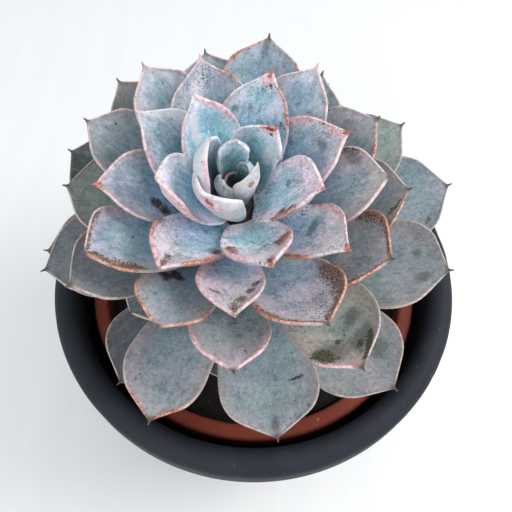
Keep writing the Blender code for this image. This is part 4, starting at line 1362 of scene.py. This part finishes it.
def make_planter_finish():
    """Matte charcoal, lighter on top with dust and a painted sheen, with pale grains and a paler
    foot.
    """
    finish = Finish("charcoal_pot", roughness=0.6, Specular_IOR_Level=0.22)
    place = finish.place()
    height = finish.height_of(place)
    upward = finish.attribute("upward")
    broad = finish.cloud(place, 26.0 * MM, 4.0)
    fine = finish.cloud(place, 0.8 * MM, 4.0, 0.65)
    # Dust and painted sheen: faces that look up are made lighter and bluer.
    dust_and_sheen = finish.step(upward, 0.1, 1.0) * finish.step(broad * 0.6 + fine * 0.4, 0.34, 0.68)
    colour = finish.mix(broad, (0.008, 0.0095, 0.0145), (0.014, 0.017, 0.025))
    colour = finish.mix(dust_and_sheen * 0.34, colour, (0.048, 0.053, 0.070))
    specks = finish.dots(place, 2.4 * MM, 0.16, 0.13)
    colour = finish.mix(specks * 0.6, colour, (0.15, 0.14, 0.13))
    low = finish.step(height, 0.03, 0.0) * fine
    colour = finish.mix(low * 0.4, colour, (0.10, 0.095, 0.09))
    finish.colour(colour)
    finish.rough(0.52 + fine * 0.16 + dust_and_sheen * 0.12)
    finish.relief(fine + broad * 0.6 + specks * 0.4, 0.10 * MM)
    return finish


def planter_profile():
    """The planter's outline, from the middle of its underside round to its inner floor."""
    skirt_foot = LIP_HEIGHT - LIP_SKIRT
    inner_top = LIP_RADIUS - 2.0 * LIP_ROUND
    profile = [(0.0, 0.0), (0.5 * PLANTER_BASE_RADIUS, 0.0)]
    profile += arc((PLANTER_BASE_RADIUS - FOOT_ROUND, FOOT_ROUND), FOOT_ROUND, -90.0, 0.0, 5)
    for share in OUTER_RINGS:
        radius = PLANTER_BASE_RADIUS + (LIP_RADIUS - SKIRT_STEP - PLANTER_BASE_RADIUS) * share
        profile.append((radius, FOOT_ROUND + (skirt_foot - FOOT_ROUND) * share))
    profile.append((LIP_RADIUS - SKIRT_STEP, skirt_foot - SKIRT_EDGE))
    skirt_centre = (LIP_RADIUS - SKIRT_ROUND, skirt_foot + SKIRT_EDGE)
    profile += arc(skirt_centre, SKIRT_ROUND, -90.0, 0.0, 3)
    profile += arc((LIP_RADIUS - LIP_ROUND, LIP_HEIGHT - LIP_ROUND), LIP_ROUND, 0.0, 180.0, 14)
    profile.append((inner_top, skirt_foot))
    for share in INNER_RINGS:
        radius = PLANTER_BASE_RADIUS - PLANTER_WALL + (
            inner_top - PLANTER_BASE_RADIUS + PLANTER_WALL) * share
        profile.append((radius, PLANTER_FLOOR + (skirt_foot - PLANTER_FLOOR) * share))
    profile.append((0.0, PLANTER_FLOOR))
    return profile


print("points in the planter's outline:", len(planter_profile()))

# %% [markdown]
# ## Nicks in the lip
# A planter that has stood outside has small nicks along the outer edge of its lip. Noise
# pushes the vertices of that edge inwards, and nowhere outwards, so the size stays true. The
# mesh also carries how far each place faces up, because dust settles there and a sheen is
# painted there.

# %% Planter with its nicks
NICK_DEPTH = 0.35 * MM
NICK_PITCH = 210.0          # nicks in a metre
NICK_FLOOR = 0.1            # noise under this leaves no nick
NICK_BAND = 2.5 * MM


def make_planter():
    """The charcoal planter, with small nicks along the outer edge of its lip."""
    bm = spin_profile(planter_profile(), POT_STEPS)
    bm.normal_update()
    upward = bm.verts.layers.float.new("upward")
    for vert in bm.verts:
        vert[upward] = vert.normal.z
        radius = math.hypot(vert.co.x, vert.co.y)
        edge = blend(radius, LIP_RADIUS - NICK_BAND, LIP_RADIUS) * blend(
            vert.co.z, LIP_HEIGHT - LIP_SKIRT, LIP_HEIGHT - 0.5 * LIP_SKIRT)
        nick = max(0.0, noise.noise(vert.co * NICK_PITCH) - NICK_FLOOR)
        inward = 1.0 - NICK_DEPTH * nick * edge / max(radius, MM)
        vert.co.x *= inward
        vert.co.y *= inward
    return finish_piece("fine_planter", bm, make_planter_finish(), ["outer_pot"])


print("planter triangles:", triangles(make_planter()))

# %% [markdown]
# ## The nursery pot
# Inside stands the thin red-brown pot that the plant was sold in. Only its rolled rim is
# seen, faded, specked with lime and darker below the top of the rim. It is spun as the
# planter was, from an outline with two small arcs for the rim.

# %% Nursery pot
NURSERY_LOW, NURSERY_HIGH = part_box("inner_pot")
NURSERY_RIM_RADIUS = NURSERY_HIGH.x
NURSERY_RIM_WIDTH = 5.5 * MM
NURSERY_RIM_DEPTH = 9.0 * MM
NURSERY_RIM_ROUND = 1.5 * MM
NURSERY_BASE_RADIUS = 43.0 * MM
NURSERY_WALL = 1.6 * MM
NURSERY_FLOOR = 2.0 * MM
NURSERY_STEPS = 144


def make_nursery_finish():
    """Faded red-brown plastic with lime specks, darker below the top of its rim."""
    finish = Finish("red_brown_pot", roughness=0.55, Specular_IOR_Level=0.25)
    place = finish.place()
    height = finish.height_of(place)
    broad = finish.cloud(place, 14.0 * MM, 4.0)
    fine = finish.cloud(place, 0.9 * MM, 4.0, 0.65)
    colour = finish.mix(broad, (0.17, 0.030, 0.016), (0.27, 0.055, 0.030))
    lime = finish.dots(place, 4.5 * MM, 0.35, 0.10)
    lime = lime.larger(finish.dots(place, 2.0 * MM, 0.12, 0.16))
    colour = finish.mix(lime * 0.7, colour, (0.52, 0.30, 0.24))
    # Darker from just below the top of the rim downwards, broken up by noise.
    darker_below_rim = finish.step(height, NURSERY_HIGH.z - 1.0 * MM, NURSERY_HIGH.z - 5.0 * MM)
    darker_below_rim = finish.step(darker_below_rim + fine * 0.7, 0.5, 1.0)
    colour = finish.mix(darker_below_rim * 0.8, colour, (0.05, 0.022, 0.016))
    finish.colour(colour)
    finish.rough(0.45 + fine * 0.2)
    finish.relief(fine + lime, 0.08 * MM)
    return finish


def nursery_radius(height):
    """Radius of the nursery pot's inner wall at a height."""
    share = (height - NURSERY_LOW.z) / (NURSERY_HIGH.z - NURSERY_LOW.z)
    base = NURSERY_BASE_RADIUS - NURSERY_WALL
    top = NURSERY_RIM_RADIUS - NURSERY_RIM_WIDTH
    return base * (1.0 - share) + top * share


def nursery_profile():
    """The nursery pot's outline, from the middle of its underside round to its floor."""
    foot = NURSERY_LOW.z
    rim = NURSERY_HIGH.z
    rim_foot = rim - NURSERY_RIM_DEPTH
    rim_inner = NURSERY_RIM_RADIUS - NURSERY_RIM_WIDTH
    corner = NURSERY_RIM_ROUND
    profile = [(0.0, foot), (0.5 * NURSERY_BASE_RADIUS, foot), (NURSERY_BASE_RADIUS, foot)]
    profile.append((nursery_radius(rim_foot) + NURSERY_WALL, rim_foot))
    profile.append((NURSERY_RIM_RADIUS, rim_foot))
    profile += arc((NURSERY_RIM_RADIUS - corner, rim - corner), corner, 0.0, 90.0, 6)
    profile += arc((rim_inner + corner, rim - corner), corner, 90.0, 180.0, 6)
    profile.append((nursery_radius(foot + NURSERY_FLOOR), foot + NURSERY_FLOOR))
    profile.append((0.5 * NURSERY_BASE_RADIUS, foot + NURSERY_FLOOR))
    profile.append((0.0, foot + NURSERY_FLOOR))
    return profile


print("points in the nursery pot's outline:", len(nursery_profile()))

# %% [markdown]
# ## Drain holes
# Six holes let the water out through the floor of the nursery pot. A hole that lies off the
# axis can't be spun, so a short rod is stood at each place and a Boolean cuts it away. The
# result is kept as the pot's mesh, and the rods are thrown away.

# %% Nursery pot with its holes
DRAIN_HOLES = 6
DRAIN_RADIUS = 4.0 * MM
DRAIN_CIRCLE = 26.0 * MM
DRAIN_SIDES = 24
ROD_LENGTH = 10.0 * MM


def make_drain_rod(angle):
    """A rod that stands where a drain hole will be."""
    bm = bmesh.new()
    bmesh.ops.create_cone(
        bm, cap_ends=True, segments=DRAIN_SIDES, radius1=DRAIN_RADIUS, radius2=DRAIN_RADIUS,
        depth=ROD_LENGTH)
    place = (DRAIN_CIRCLE * math.cos(angle), DRAIN_CIRCLE * math.sin(angle), NURSERY_LOW.z)
    bmesh.ops.translate(bm, verts=bm.verts, vec=place)
    mesh = bpy.data.meshes.new("drain_rod")
    bm.to_mesh(mesh)
    bm.free()
    rod = bpy.data.objects.new("drain_rod", mesh)
    bpy.context.scene.collection.objects.link(rod)
    return rod


def cut_drains(pot):
    """Cuts the drain holes through the floor and keeps the result."""
    rods = [make_drain_rod(math.tau * index / DRAIN_HOLES) for index in range(DRAIN_HOLES)]
    for rod in rods:
        cut = pot.modifiers.new("drain", "BOOLEAN")
        cut.object = rod
    bpy.context.view_layer.update()
    shaped = pot.evaluated_get(bpy.context.evaluated_depsgraph_get())
    shaped = bpy.data.meshes.new_from_object(shaped)
    pot.modifiers.clear()
    pot.data = shaped
    for rod in rods:
        bpy.data.objects.remove(rod)


def make_nursery_pot():
    """The red-brown nursery pot."""
    bm = spin_profile(nursery_profile(), NURSERY_STEPS)
    pot = finish_piece("fine_nursery_pot", bm, make_nursery_finish(), ["inner_pot"])
    cut_drains(pot)
    return pot


print("nursery pot triangles:", triangles(make_nursery_pot()))

# %% [markdown]
# ## The soil
# Potting soil is a dark bed of crumbs with a few bits of brown bark in it. Its surface is a
# height that noise works out for any place, so the bed and the crumbs on it agree. Three
# sizes of noise are added up: broad lumps, smaller ones and a fine grain.

# %% Soil
SOIL_BELOW_RIM = 7.5 * MM
SOIL_TOP = NURSERY_HIGH.z - SOIL_BELOW_RIM
SOIL_LUMP = 2.2 * MM
SOIL_LUMP_PITCH = 130.0     # lumps in a metre
SOIL_CRUMB_PITCH = 290.0
SOIL_GRAIN = 0.35 * MM
SOIL_GRAIN_PITCH = 700.0
SOIL_NOISE_LEVEL = 0.2 * MM   # the noise is read this far above the top


def make_soil_finish():
    """Nearly black soil with brown bark and a few pale grains."""
    finish = Finish("dark_soil", roughness=0.95)
    place = finish.place()
    kind = finish.attribute("kind")
    fine = finish.cloud(place, 0.8 * MM, 5.0, 0.7)
    colour = finish.mix(fine, (0.002, 0.0018, 0.0017), (0.016, 0.012, 0.009))
    bark = finish.mix(fine, (0.05, 0.025, 0.014), (0.17, 0.10, 0.06))
    colour = finish.mix(finish.step(kind, 0.80, 0.86), colour, bark)
    colour = finish.mix(finish.step(kind, 0.975, 0.98), colour, (0.40, 0.37, 0.32))
    finish.colour(colour)
    finish.relief(fine, 0.5 * MM)
    return finish


def soil_height(x, y):
    """Height of the lumpy soil."""
    place = Vector((x, y, SOIL_TOP + SOIL_NOISE_LEVEL))
    lump = noise.noise(place * SOIL_LUMP_PITCH) + 0.5 * noise.noise(place * SOIL_CRUMB_PITCH)
    fine = noise.noise(place * SOIL_GRAIN_PITCH) * SOIL_GRAIN
    return SOIL_TOP + SOIL_LUMP * lump + fine


print("height of the soil at the back:", round(soil_height(0.0, 30.0 * MM) / MM, 1), "mm")

# %% [markdown]
# ## Crumbs
# The crumbs are small balls, stretched, turned and dented at random so that no two are
# alike. They are few-sided, because hundreds of them are needed. The random numbers come
# from a seeded generator, so that the soil is the same every time.

# %% Crumbs
CRUMBS = 900
CRUMB_SEED = 5
CRUMB_SIZES = (0.35 * MM, 1.5 * MM)
CRUMB_RARITY = 3            # the higher, the fewer large ones
CRUMB_MARGIN = 1.5 * MM     # free of crumbs along the pot's wall
CRUMB_RISE = 0.2            # how far its middle stands above the bed, in its own radius
CRUMB_DENT = 0.18
CRUMB_SIDES = ((0.6, 1.5), (0.6, 1.2), (0.5, 1.0))   # how far its sides are stretched


def add_crumb(bm, layer, rng):
    """One crumb, nearly half sunk in the bed."""
    edge = nursery_radius(SOIL_TOP) - CRUMB_MARGIN
    radius = edge * math.sqrt(rng.random())
    angle = rng.uniform(0.0, math.tau)
    smallest, largest = CRUMB_SIZES
    size = smallest + (largest - smallest) * rng.random() ** CRUMB_RARITY
    x, y = radius * math.cos(angle), radius * math.sin(angle)
    stretch = Matrix.Diagonal((*(rng.uniform(*side) for side in CRUMB_SIDES), 1.0))
    twist = rng.uniform(0.0, math.tau)
    turn = Matrix.Rotation(twist, 4, Vector((rng.random(), rng.random(), 1.0)))
    move = Matrix.Translation((x, y, soil_height(x, y) + CRUMB_RISE * size))
    place = move @ turn @ stretch
    made = bmesh.ops.create_icosphere(bm, subdivisions=1, radius=size, matrix=place)
    kind = rng.random()
    for vert in made["verts"]:
        dent = Vector((rng.uniform(-1, 1), rng.uniform(-1, 1), rng.uniform(-1, 1)))
        vert.co += dent * CRUMB_DENT * size
        vert[layer] = kind


print("crumbs to strew:", CRUMBS)

# %% [markdown]
# ## The bed of soil
# The bed fills the nursery pot a little below its rim. It is spun with many flat rings on
# top, which noise then lifts into lumps, and its crumbs are joined to it as one piece. The
# plain soil's hole for the stem is left out, because the fine stem fills it.

# %% Bed of soil
SOIL_STEPS = 120
SOIL_RINGS = 44
SOIL_EDGE_DROP = 2.0 * MM
SOIL_TOP_BAND = 0.5 * MM    # vertices this close to the top are lifted into lumps


def make_soil():
    """The bed of soil and its crumbs, in one piece."""
    edge = nursery_radius(SOIL_TOP) - GAP
    foot = NURSERY_LOW.z + NURSERY_FLOOR + GAP
    profile = [(0.0, foot), (nursery_radius(foot) - GAP, foot)]
    profile.append((edge, SOIL_TOP - SOIL_EDGE_DROP))
    profile += [(edge * ring / SOIL_RINGS, SOIL_TOP) for ring in range(SOIL_RINGS, -1, -1)]
    bm = spin_profile(profile, SOIL_STEPS)
    layer = bm.verts.layers.float.new("kind")
    for vert in bm.verts:
        if vert.co.z > SOIL_TOP - SOIL_TOP_BAND:
            vert.co.z = soil_height(vert.co.x, vert.co.y)
    rng = random.Random(CRUMB_SEED)
    for _ in range(CRUMBS):
        add_crumb(bm, layer, rng)
    return finish_piece("fine_soil", bm, make_soil_finish(), ["soil"], 60.0)


print("soil triangles:", triangles(make_soil()))

# %% The plain box at the end
print("plain box:", plain_low, plain_high)
